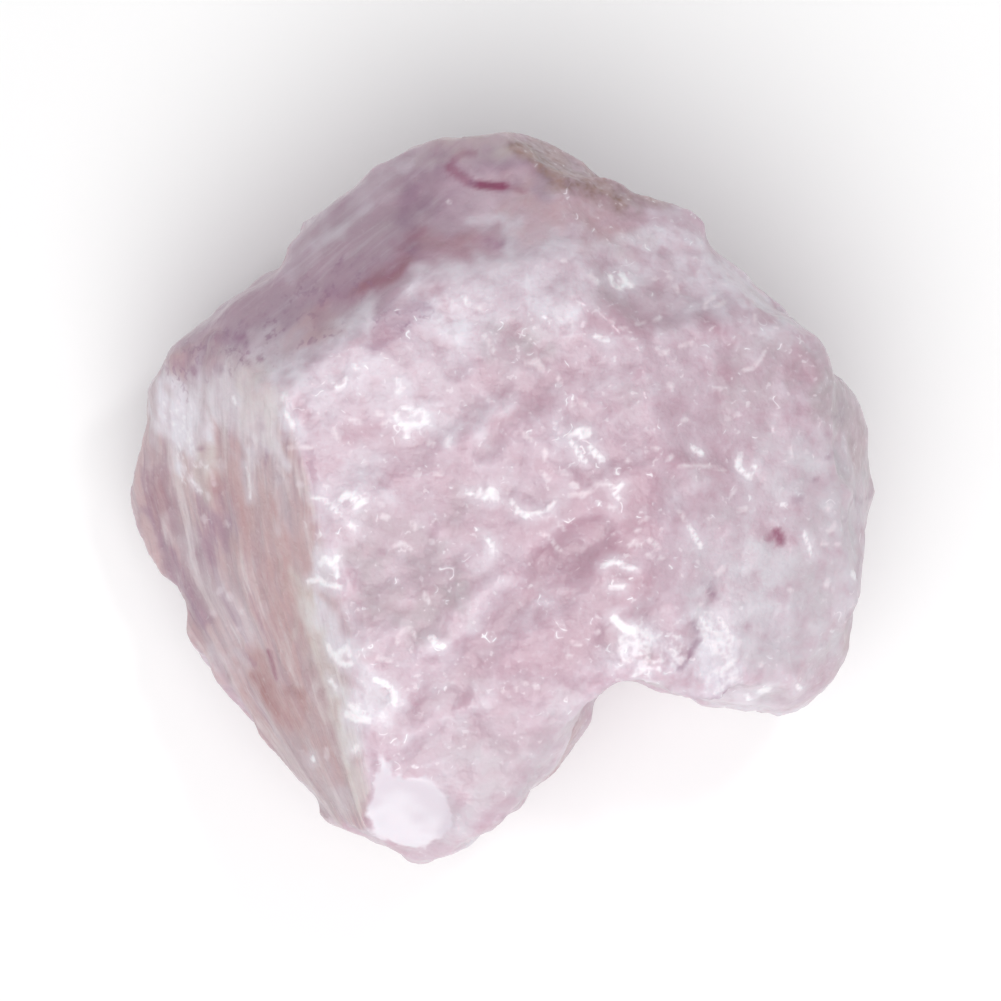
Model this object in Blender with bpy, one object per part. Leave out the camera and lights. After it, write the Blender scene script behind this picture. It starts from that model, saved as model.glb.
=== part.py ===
"""Rough petalite: one broken block of pale pink petalite, 44 mm wide, lying on a flat cleavage face.

The block is modelled as it broke. A body is lofted round the outline that is seen from above, and
flat faces are cut off it where it split. Chips are knocked off its edges, and the walls, which the
best face hides, get breaks of their own. The faces are then given the relief of a fracture: dishes,
grooves, splintered facets and cleavage ledges.

Metres, +Z up. +X is to the right and +Y away when the best face is looked down on. The origin is
on the surface that the block rests on, under the middle of its outline.
"""

import math
import random

import bmesh
import bpy
from mathutils import Vector, noise
from mathutils.bvhtree import BVHTree

MM = 0.001

# The stone's width. Every size below is in millimetres, and the finished block is scaled to this.
STONE_WIDTH = 44.0 * MM
# The body is lofted this high, well above its upper faces, which then cut it down.
STONE_TOP = 34.0

# The outline from above, clockwise from its top, with the height at which the block is widest there.
OUTLINE = [
    (-0.7, 21.3, 17.0),
    (2.1, 21.1, 16.5),
    (3.8, 20.2, 16.0),
    (5.5, 18.7, 15.0),
    (7.0, 17.5, 15.0),
    (10.6, 16.5, 15.5),
    (12.1, 15.4, 15.5),
    (13.7, 13.5, 15.0),
    (16.6, 10.6, 14.0),
    (18.3, 8.9, 13.5),
    (19.3, 7.1, 13.0),
    (20.7, 5.8, 12.0),
    (21.6, 3.9, 11.5),
    (22.0, 1.5, 11.0),
    (21.8, -1.4, 10.5),
    (21.2, -4.2, 10.0),
    (20.4, -6.4, 9.5),
    (20.0, -8.7, 9.0),
    (19.1, -10.6, 8.5),
    (17.9, -11.8, 8.0),
    (16.3, -12.2, 8.0),
    (13.9, -11.9, 8.5),
    (11.8, -11.3, 9.0),
    (10.2, -10.6, 10.0),
    (8.2, -10.2, 11.0),
    (6.2, -10.6, 11.5),
    (4.9, -11.8, 11.5),
    (4.1, -13.4, 11.0),
    (3.1, -15.5, 10.5),
    (1.6, -17.2, 10.0),
    (-0.4, -18.6, 9.5),
    (-2.4, -20.0, 9.0),
    (-3.9, -21.1, 9.0),
    (-4.9, -21.4, 9.0),
    (-6.5, -20.2, 8.5),
    (-8.1, -19.0, 8.0),
    (-10.1, -18.2, 7.5),
    (-12.0, -16.2, 7.0),
    (-13.9, -13.4, 6.5),
    (-15.9, -10.5, 6.5),
    (-17.8, -7.6, 6.5),
    (-19.9, -5.0, 6.5),
    (-21.5, -2.6, 7.0),
    (-22.0, -0.5, 7.5),
    (-21.6, 2.2, 8.5),
    (-21.2, 4.3, 10.0),
    (-20.4, 6.6, 11.5),
    (-18.8, 8.5, 12.5),
    (-16.6, 10.5, 13.5),
    (-13.8, 12.5, 14.5),
    (-12.0, 13.7, 15.0),
    (-11.1, 14.9, 15.5),
    (-10.7, 16.1, 16.0),
    (-9.5, 17.3, 16.0),
    (-7.8, 18.8, 16.5),
    (-5.6, 20.2, 17.0),
    (-3.5, 21.0, 17.0),
]

# Rings of the loft, from its foot up: (share of the outline's size, share of the girdle's height,
# extra height). The foot reaches below the surface that the block rests on, where it is cut flat.
RINGS = [
    (0.74, 0.0, -1.5),
    (0.92, 0.40, 0.0),
    (1.02, 0.90, 0.0),
    (1.02, 1.0, 1.4),
    (0.99, 0.0, STONE_TOP),
]
RING_CENTRE = (0.5, -0.5)

# Faces that the block split along, each through three points. What lies outside them is cut off.
UPPER_FACES = {
    "main face": ((-12.0, 6.0, 25.0), (-10.9, -8.0, 24.6), (9.0, 2.0, 25.6)),
    "right fall": ((9.5, 9.0, 25.2), (10.5, -6.0, 24.9), (19.0, 2.0, 21.0)),
    "lobe fall": ((7.0, -8.5, 24.9), (15.5, -1.0, 22.8), (17.0, -10.0, 20.4)),
    "tip fall": ((-11.0, -9.0, 24.5), (5.0, -10.0, 24.2), (-4.5, -20.5, 20.6)),
    "left face": ((-12.1, 6.0, 25.0), (-7.4, -19.0, 21.0), (-20.9, -1.0, 8.6)),
    "white corner": ((-12.1, 6.2, 25.0), (-16.0, 10.6, 19.0), (-21.0, 4.4, 14.0)),
    "back slope": ((-12.1, 6.2, 25.1), (-5.2, 12.3, 25.3), (-12.8, 13.4, 18.9)),
    "back knob": ((-5.2, 12.3, 25.3), (5.6, 13.6, 25.1), (-1.0, 21.0, 20.4)),
    "back shoulder": ((4.0, 13.4, 25.2), (12.8, 9.6, 24.0), (9.8, 16.4, 20.6)),
    "right edge": ((18.9, 7.6, 20.6), (21.0, -3.0, 18.6), (22.3, 1.2, 14.5)),
}
UNDERCUT_FACES = {
    "left undercut": ((-22.3, -1.9, 6.2), (-14.4, -14.2, 5.2), (-15.0, -1.2, 0.0)),
    "tip undercut": ((-13.8, -15.0, 5.6), (-5.2, -22.0, 8.2), (-7.0, -12.8, 0.0)),
    "right undercut": ((22.4, -1.4, 10.0), (20.6, -9.0, 8.6), (15.4, -2.0, 0.0)),
    "right back undercut": ((22.7, 2.6, 10.6), (17.7, 11.0, 13.0), (13.8, 4.8, 0.0)),
    "back undercut": ((14.5, 14.6, 14.4), (5.9, 19.8, 14.2), (6.8, 12.0, 0.0)),
    "back left undercut": ((-0.9, 22.6, 16.5), (-10.2, 18.8, 15.5), (-4.4, 13.2, 0.0)),
    "left back undercut": ((-12.8, 14.7, 14.6), (-21.2, 7.8, 11.0), (-12.6, 7.2, 0.0)),
}
CORE = Vector((0.0, 0.0, 13.0))

# Chips knocked off one edge each: (point, azimuth that it faces, angle from straight up, radius).
CHIPS = {
    "tip chip": ((-5.1, -17.4, 21.4), -86.0, 30.0, 3.4),
    "tip end": ((-4.9, -20.9, 18.4), -95.0, 52.0, 5.0),
    "lobe rim": ((19.5, -9.6, 17.4), -35.0, 60.0, 5.0),
    "lobe front": ((15.2, -11.7, 18.2), -85.0, 62.0, 4.5),
    "lobe foot": ((16.2, -11.4, 8.6), -78.0, 122.0, 8.0),
    "notch cheek": ((2.9, -15.9, 20.4), -38.0, 58.0, 5.0),
    "notch foot": ((7.4, -9.8, 7.0), -88.0, 108.0, 5.0),
    "left ridge nick": ((-10.8, -4.6, 24.2), 176.0, 36.0, 2.4),
    "crest nick": ((1.4, 13.2, 25.0), 86.0, 16.0, 4.0),
    "left rim": ((-20.8, 3.0, 12.2), 172.0, 80.0, 4.5),
    "back rim": ((3.6, 20.0, 18.4), 62.0, 66.0, 4.0),
    "shoulder rim": ((14.6, 12.8, 19.2), 44.0, 66.0, 5.0),
    "right rim": ((20.6, 6.2, 17.0), 32.0, 72.0, 4.0),
}

CHIP_RUN_OUT = 0.55

# Breaks spread over the walls. Each is a flat bite out of a wall, with its depth and radius in these
# ranges, turned sideways and downwards from the wall there. The upper faces and the notch have none.
BREAK_COUNT = 52
BREAK_SEED = 13
BREAK_HEIGHTS = (2.0, 17.0)
BREAK_DEPTHS = (0.1, 0.65)
BREAK_RADII = (5.0, 11.0)
BREAK_TURN = 0.24
BREAK_UNDERCUTS = (0.02, 0.42)
BREAK_BITE = 2.4
BREAK_RUN_OUT = 0.22
BITE_RUN_OUT = 0.3
WALL_NORMAL_Z = 0.05
NOTCH_BEARINGS = (-126.0, -16.0)
GOLDEN_ANGLE = math.pi * (3.0 - math.sqrt(5.0))

# Relief of the upper faces. A dish is (x, y, radius, depth), and a swell has a negative depth.
DISHES = [
    (-6.4, -3.4, 5.4, 0.50),
    (8.3, 11.3, 4.8, 0.45),
    (2.4, 3.6, 4.8, -0.40),
    (13.6, 3.0, 4.2, 0.30),
    (15.6, -6.4, 4.6, -0.35),
    (7.6, -7.8, 3.2, 0.45),
    (-2.2, -13.6, 4.2, 0.35),
    (-7.4, 8.4, 4.0, -0.35),
    (-15.8, 1.4, 4.6, 0.50),
    (-15.4, -7.0, 4.0, -0.30),
    (-4.2, 16.8, 3.6, 0.50),
]
# A groove is (start, end, half-width, depth), seen from above.
GROOVES = [
    ((-3.4, -10.6), (4.0, -3.4), 2.4, 0.32),
    ((4.0, -3.4), (9.6, 0.2), 2.2, 0.28),
    ((-10.0, 0.6), (0.4, 6.2), 2.0, 0.22),
    ((10.4, -9.8), (13.2, -3.8), 1.6, 0.16),
    ((-9.2, -13.4), (-3.2, -6.8), 1.8, 0.20),
]
# The dishes and grooves fade in over this range of heights, and over this range of a normal's z.
UPPER_HEIGHTS = (15.0, 18.0)
UPPER_NORMALS = (0.25, 0.65)

# Relief of every face. A face counts as a wall as its normal's z falls through this range.
WALL_NORMALS = (0.45, -0.05)
SWELL_SIZE, SWELL_HEIGHT = 9.0, 0.40
LUMP_SIZE, LUMP_HEIGHT = 3.0, 0.12
LUMP_ROUGHNESS, LUMP_STEP, LUMP_OCTAVES = 1.0, 2.1, 3

# Splintered facets: (size of a facet, its tilt on a wall, its tilt on an upper face).
SPLINTERS = [(6.8, 0.30, 0.05), (3.4, 0.24, 0.05)]
SPLINTER_EDGE = 16.0
TILT_SPREAD = 7.3
TILT_SHIFTS = [Vector((0.0, 0.0, 0.0)), Vector((31.4, 7.1, 3.3)), Vector((5.9, 47.2, 19.6))]

# Cleavage ledges on the walls, parallel but for a slow bend, and broken up into patches.
LEDGE_SPACING, LEDGE_HEIGHT = 3.4, 0.50
LEDGE_NORMAL = Vector((0.38, -0.22, 0.90)).normalized()
LEDGE_RUN = 0.82
LEDGE_BEND_SIZE, LEDGE_BEND = 11.0, 0.5
LEDGE_PATCH_SIZE, LEDGE_PATCH_SHIFT = 6.5, Vector((9.0, 2.0, 4.0))
LEDGE_PATCH_NOISE = (-0.05, 0.25)

# How finely the block is skinned before and after its breaks, and the share of facets that it keeps.
VOXEL = 0.5
FINE_VOXEL = 0.42
FACET_SHARE = 0.135
SHORTEST_EDGE = 0.02
CREASE_ANGLE = 28.0


def clear_scene():
    for old in list(bpy.data.objects):
        bpy.data.objects.remove(old, do_unlink=True)


def lofted_body():
    """The block before it is split: rings of the outline, narrower towards its foot, joined by walls."""
    body = bmesh.new()
    centre = Vector((*RING_CENTRE, 0.0))
    rings = []
    for size, share, extra in RINGS:
        ring = []
        for x, y, girdle in OUTLINE:
            flat = centre + (Vector((x, y, 0.0)) - centre) * size
            ring.append(body.verts.new((flat.x, flat.y, girdle * share + extra)))
        rings.append(ring)
    for lower, upper in zip(rings, rings[1:]):
        for i in range(len(lower)):
            j = (i + 1) % len(lower)
            body.faces.new((lower[i], upper[i], upper[j], lower[j]))
    body.faces.new(rings[0])
    body.faces.new(list(reversed(rings[-1])))
    bmesh.ops.recalc_face_normals(body, faces=body.faces)
    return body


def cut_face(body, corners):
    """Splits the block along the plane through three points and drops the side away from its core."""
    first, second, third = (Vector(corner) for corner in corners)
    outward = (second - first).cross(third - first).normalized()
    if outward.dot(CORE - first) > 0.0:
        outward.negate()
    everything = [*body.verts, *body.edges, *body.faces]
    made = bmesh.ops.bisect_plane(
        body, geom=everything, plane_co=first, plane_no=outward, clear_outer=True, dist=1e-4
    )
    rim = [piece for piece in made["geom_cut"] if isinstance(piece, bmesh.types.BMEdge)]
    open_rim = [edge for edge in rim if edge.is_valid and edge.is_boundary]
    if open_rim:
        bmesh.ops.holes_fill(body, edges=open_rim, sides=0)
    bmesh.ops.recalc_face_normals(body, faces=body.faces)


def object_of(name, body):
    mesh = bpy.data.meshes.new(name)
    body.to_mesh(mesh)
    body.free()
    made = bpy.data.objects.new(name, mesh)
    bpy.context.scene.collection.objects.link(made)
    return made


def apply_modifiers(thing):
    graph = bpy.context.evaluated_depsgraph_get()
    mesh = bpy.data.meshes.new_from_object(thing.evaluated_get(graph))
    old = thing.data
    thing.modifiers.clear()
    thing.data = mesh
    bpy.data.meshes.remove(old)


def even_skin(thing, voxel):
    """An even skin over the block, which rounds its edges by about half a voxel."""
    skin = thing.modifiers.new("even skin", "REMESH")
    skin.mode = "VOXEL"
    skin.voxel_size = voxel
    worn = thing.modifiers.new("worn edges", "SMOOTH")
    worn.factor = 0.5
    worn.iterations = 1
    apply_modifiers(thing)


def ramp(value, start, end):
    """A smooth rise from 0 at the start to 1 at the end."""
    share = min(1.0, max(0.0, (value - start) / (end - start)))
    return share * share * (3.0 - 2.0 * share)


def upper_hollows(place):
    """Depth of the dishes and grooves at a place on the upper faces."""
    depth = 0.0
    for x, y, radius, dish in DISHES:
        depth += dish * ramp(math.hypot(place.x - x, place.y - y), radius, 0.0)
    for (x1, y1), (x2, y2), half_width, groove in GROOVES:
        along = Vector((x2 - x1, y2 - y1))
        from_start = Vector((place.x - x1, place.y - y1))
        share = min(1.0, max(0.0, from_start.dot(along) / along.length_squared))
        depth += groove * ramp((from_start - along * share).length, half_width, 0.0)
    return depth


def tilt_of(middle):
    """The way that the facet round a middle tilts."""
    return Vector([noise.noise(middle * TILT_SPREAD + shift) for shift in TILT_SHIFTS])


def splinters(place, size):
    """Facets that each tilt their own way, with a short slope from one to the next."""
    spot = place / size
    distances, middles = noise.voronoi(spot)
    rise = 0.0
    total = 0.0
    for distance, middle in zip(distances, middles):
        share = math.exp((distances[0] - distance) * SPLINTER_EDGE)
        rise += share * (spot - middle).dot(tilt_of(middle))
        total += share
    return rise / total * size


def ledges(place):
    """Cleavage ledges, which slope up and drop, and break off where the noise says."""
    bend = noise.noise(place / LEDGE_BEND_SIZE) * LEDGE_BEND
    along = (place.dot(LEDGE_NORMAL) / LEDGE_SPACING + bend) % 1.0
    rise = ramp(along, 0.0, LEDGE_RUN) - ramp(along, LEDGE_RUN, 1.0)
    patch = ramp(noise.noise(place / LEDGE_PATCH_SIZE + LEDGE_PATCH_SHIFT), *LEDGE_PATCH_NOISE)
    return (rise - 0.5) * patch


def fracture_relief(place, normal):
    """How far the fracture stands out from its flat face at a place."""
    upper = ramp(place.z, *UPPER_HEIGHTS) * ramp(normal.z, *UPPER_NORMALS)
    wall = ramp(normal.z, *WALL_NORMALS)
    out = noise.noise(place / SWELL_SIZE) * SWELL_HEIGHT
    out += noise.fractal(place / LUMP_SIZE, LUMP_ROUGHNESS, LUMP_STEP, LUMP_OCTAVES) * LUMP_HEIGHT
    for size, wall_tilt, upper_tilt in SPLINTERS:
        out += splinters(place, size) * (wall_tilt * wall + upper_tilt * (1.0 - wall))
    out += ledges(place) * LEDGE_HEIGHT * wall
    out -= upper_hollows(place) * upper
    return out


def plane_off(thing, middle, facing, radius, run_out, bite=STONE_TOP):
    """Brings what stands out of a plane back to it, within a radius of its middle and as deep as the bite.

    The run-out is the share of the radius over which the plane fades into the face around it.
    """
    for vertex in thing.data.vertices:
        away = vertex.co - middle
        height = away.dot(facing)
        if 0.0 < height < bite:
            within = ramp((away - facing * height).length, radius, radius * (1.0 - run_out))
            shallow = ramp(height, bite, bite * (1.0 - BITE_RUN_OUT))
            vertex.co -= facing * (height * within * shallow)
    thing.data.update()


def chip_edges(thing):
    """Knocks the named chips off their edges."""
    for point, azimuth, angle_from_up, radius in CHIPS.values():
        turn, tilt = math.radians(azimuth), math.radians(angle_from_up)
        level = math.sin(tilt)
        facing = Vector((math.cos(turn) * level, math.sin(turn) * level, math.cos(tilt)))
        plane_off(thing, Vector(point), facing, radius, CHIP_RUN_OUT)


def in_notch(bearing):
    turn = (math.degrees(bearing) + 180.0) % 360.0 - 180.0
    return NOTCH_BEARINGS[0] < turn < NOTCH_BEARINGS[1]


def break_walls(thing):
    """Bites the breaks out of the walls. Each looks down more than its wall does, so the rim above stays."""
    dice = random.Random(BREAK_SEED)
    skin = BVHTree.FromObject(thing, bpy.context.evaluated_depsgraph_get())
    for i in range(BREAK_COUNT):
        bearing = i * GOLDEN_ANGLE
        outwards = Vector((math.cos(bearing), math.sin(bearing), 0.0))
        inside = Vector((*RING_CENTRE, dice.uniform(*BREAK_HEIGHTS)))
        depth = dice.uniform(*BREAK_DEPTHS)
        radius = dice.uniform(*BREAK_RADII)
        turn_x = dice.uniform(-BREAK_TURN, BREAK_TURN)
        turn_y = dice.uniform(-BREAK_TURN, BREAK_TURN)
        undercut = dice.uniform(*BREAK_UNDERCUTS)
        spot, normal, _, _ = skin.ray_cast(inside, outwards)
        if normal.z < WALL_NORMAL_Z and not in_notch(bearing):
            facing = (normal + Vector((turn_x, turn_y, -undercut))).normalized()
            plane_off(thing, spot - facing * depth, facing, radius, BREAK_RUN_OUT, BREAK_BITE)


def roughen(thing):
    """Moves every point of the skin along its normal by the relief there."""
    mesh = thing.data
    moves = [vertex.normal * fracture_relief(vertex.co, vertex.normal) for vertex in mesh.vertices]
    for vertex, move in zip(mesh.vertices, moves):
        vertex.co += move
    mesh.update()


def thin_out(thing, share):
    """Fewer, larger facets where the face is flat."""
    fewer = thing.modifiers.new("fewer facets", "DECIMATE")
    fewer.ratio = share
    fewer.use_collapse_triangulate = True
    apply_modifiers(thing)


def rest_flat(thing):
    """Cuts the foot along the plane that the block rests on, centres the block and sets it to scale."""
    body = bmesh.new()
    body.from_mesh(thing.data)
    cut_face(body, ((0.0, 0.0, 0.0), (1.0, 0.0, 0.0), (0.0, 1.0, 0.0)))
    bmesh.ops.remove_doubles(body, verts=body.verts, dist=SHORTEST_EDGE)
    bmesh.ops.triangulate(body, faces=body.faces)
    across = [vertex.co.x for vertex in body.verts]
    deep = [vertex.co.y for vertex in body.verts]
    middle = Vector(((min(across) + max(across)) / 2.0, (min(deep) + max(deep)) / 2.0, 0.0))
    size = STONE_WIDTH / (max(across) - min(across))
    for vertex in body.verts:
        vertex.co = (vertex.co - middle) * size
    body.to_mesh(thing.data)
    body.free()
    thing.data.update()


def petalite_material():
    material = bpy.data.materials.new("pale pink petalite")
    material.use_nodes = True
    shader = material.node_tree.nodes["Principled BSDF"]
    shader.inputs["Base Color"].default_value = (0.68, 0.47, 0.51, 1.0)
    shader.inputs["Roughness"].default_value = 0.32
    shader.inputs["Metallic"].default_value = 0.0
    return material


def build():
    clear_scene()
    body = lofted_body()
    for corners in [*UPPER_FACES.values(), *UNDERCUT_FACES.values()]:
        cut_face(body, corners)
    stone = object_of("petalite_block", body)
    even_skin(stone, VOXEL)
    chip_edges(stone)
    break_walls(stone)
    even_skin(stone, FINE_VOXEL)
    roughen(stone)
    thin_out(stone, FACET_SHARE)
    rest_flat(stone)
    stone.data.shade_smooth()
    stone.data.set_sharp_from_angle(angle=math.radians(CREASE_ANGLE))
    stone.data.materials.append(petalite_material())


build()
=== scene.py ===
"""The looks of a piece of rough petalite: its broken surface, its tints and glints, and plain studio light.

Lengths are in millimetres, except the ones multiplied by MM, the lamps' and the floor's, which are in metres.
+X is right, +Y is away, +Z is up. A stroke is its points seen from above, its radius, and its height or
strength.
"""

import bpy
import numpy as np
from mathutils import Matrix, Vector, noise


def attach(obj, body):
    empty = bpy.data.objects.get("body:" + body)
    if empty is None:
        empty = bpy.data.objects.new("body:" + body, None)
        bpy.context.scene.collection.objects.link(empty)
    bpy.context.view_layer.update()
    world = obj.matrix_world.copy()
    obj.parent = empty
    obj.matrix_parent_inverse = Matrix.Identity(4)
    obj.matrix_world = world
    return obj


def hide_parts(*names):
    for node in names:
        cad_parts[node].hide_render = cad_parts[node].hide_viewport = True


MM = 0.001

# The stone's mesh, and the heights over the table between which its relief fades in.
SKIN_VOXEL = 0.26 * MM
MERGE_DISTANCE = 0.001 * MM
SMOOTH_FACTOR = 0.5
SMOOTH_ROUNDS = 5
LAST_SMOOTHING = 0.4
FOOT_RISE = (0.15, 0.9)

# Shares and weights below FAINT are left out. A face is seen from above if its normal rises over SEEN_RISE.
FAINT = 0.01
SEEN_RISE = 0.2

# Main directions of the big faces, and how near to one a normal must be to belong to it. The left face begins
# beyond a leaning line near its ridge, and a wall faces up less than the top does.
LEFT_FACE = Vector((-0.86, -0.19, 0.47)).normalized()
BACK_SLOPE = Vector((-0.32, 0.70, 0.64)).normalized()
FACE_SPREAD = (0.80, 0.95)
SLOPE_SPREAD = (0.76, 0.93)
WALL_LIFT = (0.62, 0.25)
RIDGE_LINE = (-9.0, -11.0)
RIDGE_LEAN = 0.18

# The left face seen from above: its ridge and its outer rim, between which its streaks fan out, and the
# streaks' height, how many cross the face and how long they run.
LEFT_RIDGE = [(-12.2, 7.0), (-12.2, 2.0), (-11.4, -4.5), (-9.6, -11.0), (-7.4, -19.0)]
LEFT_RIM = [(-21.6, 7.0), (-21.8, 1.0), (-20.4, -5.0), (-16.6, -11.0), (-9.8, -19.0)]
STREAK_HEIGHT = 0.14
STREAKS_ACROSS = 6.0
STREAK_LENGTH = 10.0

# The back slope, lilac darkened by painted shade: the strokes of its pale part, which has less of it, and
# its streaks: which way they run, how wide they are, and a start that meets the left face's.
PALE_SLOPE = [((-2.2, 17.0), (1.0, 16.4), (6.0, 15.4), 2.0, 0.85), ((-16.8, 8.2), (-12.0, 8.6), 0.9, 0.3)]
SLOPE_STREAK_WAY = (0.78, 0.62)
SLOPE_STREAK_WIDTH = 7.0
SLOPE_STREAK_START = (-1.8, 14.2)

# Ledges that cleavage leaves on the walls and, lower, on the top: their size and heights, how many steps a
# cloud's rise makes, and which part of a step is its riser.
LEDGE_SIZE = 6.5
WALL_LEDGE = 0.65
TOP_LEDGE = 0.22
LEDGE_STEPS = 3.5
RISER = (0.5, 0.95)

# The rim seen from above, where the relief is low: how far in that fades, how much relief the rim keeps, and
# in how many parts its outline is measured.
RIM_FADE = (3.0, 0.6)
RIM_RELIEF = 0.25
RIM_PARTS = 240

# Scoops that pieces left as they broke away: their size, and their height on the walls and on the top as a
# share of it. SCOOP_LEAN says how far each leans, and SCOOP_MIDDLE which depth leaves the skin where it was.
SCOOPS = [(3.9, 0.50, 0.0), (1.6, 0.40, 0.12)]
SCOOP_LEAN = 0.4
SCOOP_MIDDLE = 0.3

# The scoops are deep in some patches and low between them: the patches' size, between which values of their
# clouds they fade in, and the least share of the scoops' height.
PATCH_SIZE = 8.0
PATCH_FADE = (-0.45, 0.55)
PATCH_LEAST = 0.15

# The finest relief: where it lies, the kind of texture and its settings, its size and its height. All of it
# is lower on the chip, and the top's is lower on the slope, by these shares.
FINE_RELIEF = [
    ("everywhere", "CLOUDS", {"noise_depth": 3}, 2.6, 0.28),
    ("top", "VORONOI", {"distance_metric": "DISTANCE_SQUARED"}, 1.9, 0.16),
    ("everywhere", "CLOUDS", {"noise_depth": 2}, 0.8, 0.08),
]
CHIP_CALM = 0.85
SLOPE_CALM = 0.6

# Ribs and grooves of the top: how wide each spreads as a share of its radius, how far its line wanders, and
# the strokes with their heights.
FOLD_WIDTH = 1.4
FOLD_WANDER = 0.4
FOLDS = [
    ((-3.9, -8.1), (-1.6, -6.3), (0.7, -4.7), 1.1, 0.2),
    ((-1.8, -9.2), (2.3, -4.2), (5.0, -1.9), 1.2, -0.17), ((-0.6, 3.2), (3.6, 7.2), 0.9, -0.13),
    ((-2.9, 2.9), (1.2, 6.2), 1.0, 0.14), ((-8.2, 0.6), (-8.4, -0.4), 1.2, 0.18),
    ((-9.6, -3.4), (-9.0, -4.8), 1.0, 0.18), ((-7.1, -11.2), (-7.0, -11.0), 0.9, -0.26),
    ((-6.8, -13.2), (-4.2, -11.6), (-2.2, -10.9), 0.7, -0.12),
    ((-4.3, -13.3), (-3.0, -11.6), (-1.2, -11.4), 0.5, 0.14),
    ((1.0, -0.2), (2.0, -0.9), (3.1, -0.5), 0.5, 0.16), ((7.6, -7.6), (9.0, -8.8), 1.4, 0.2),
    ((9.6, 1.9), (12.6, 1.6), 0.5, 0.14), ((10.4, -9.4), (11.0, -7.4), (12.2, -5.2), 0.6, -0.06),
]
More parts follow.
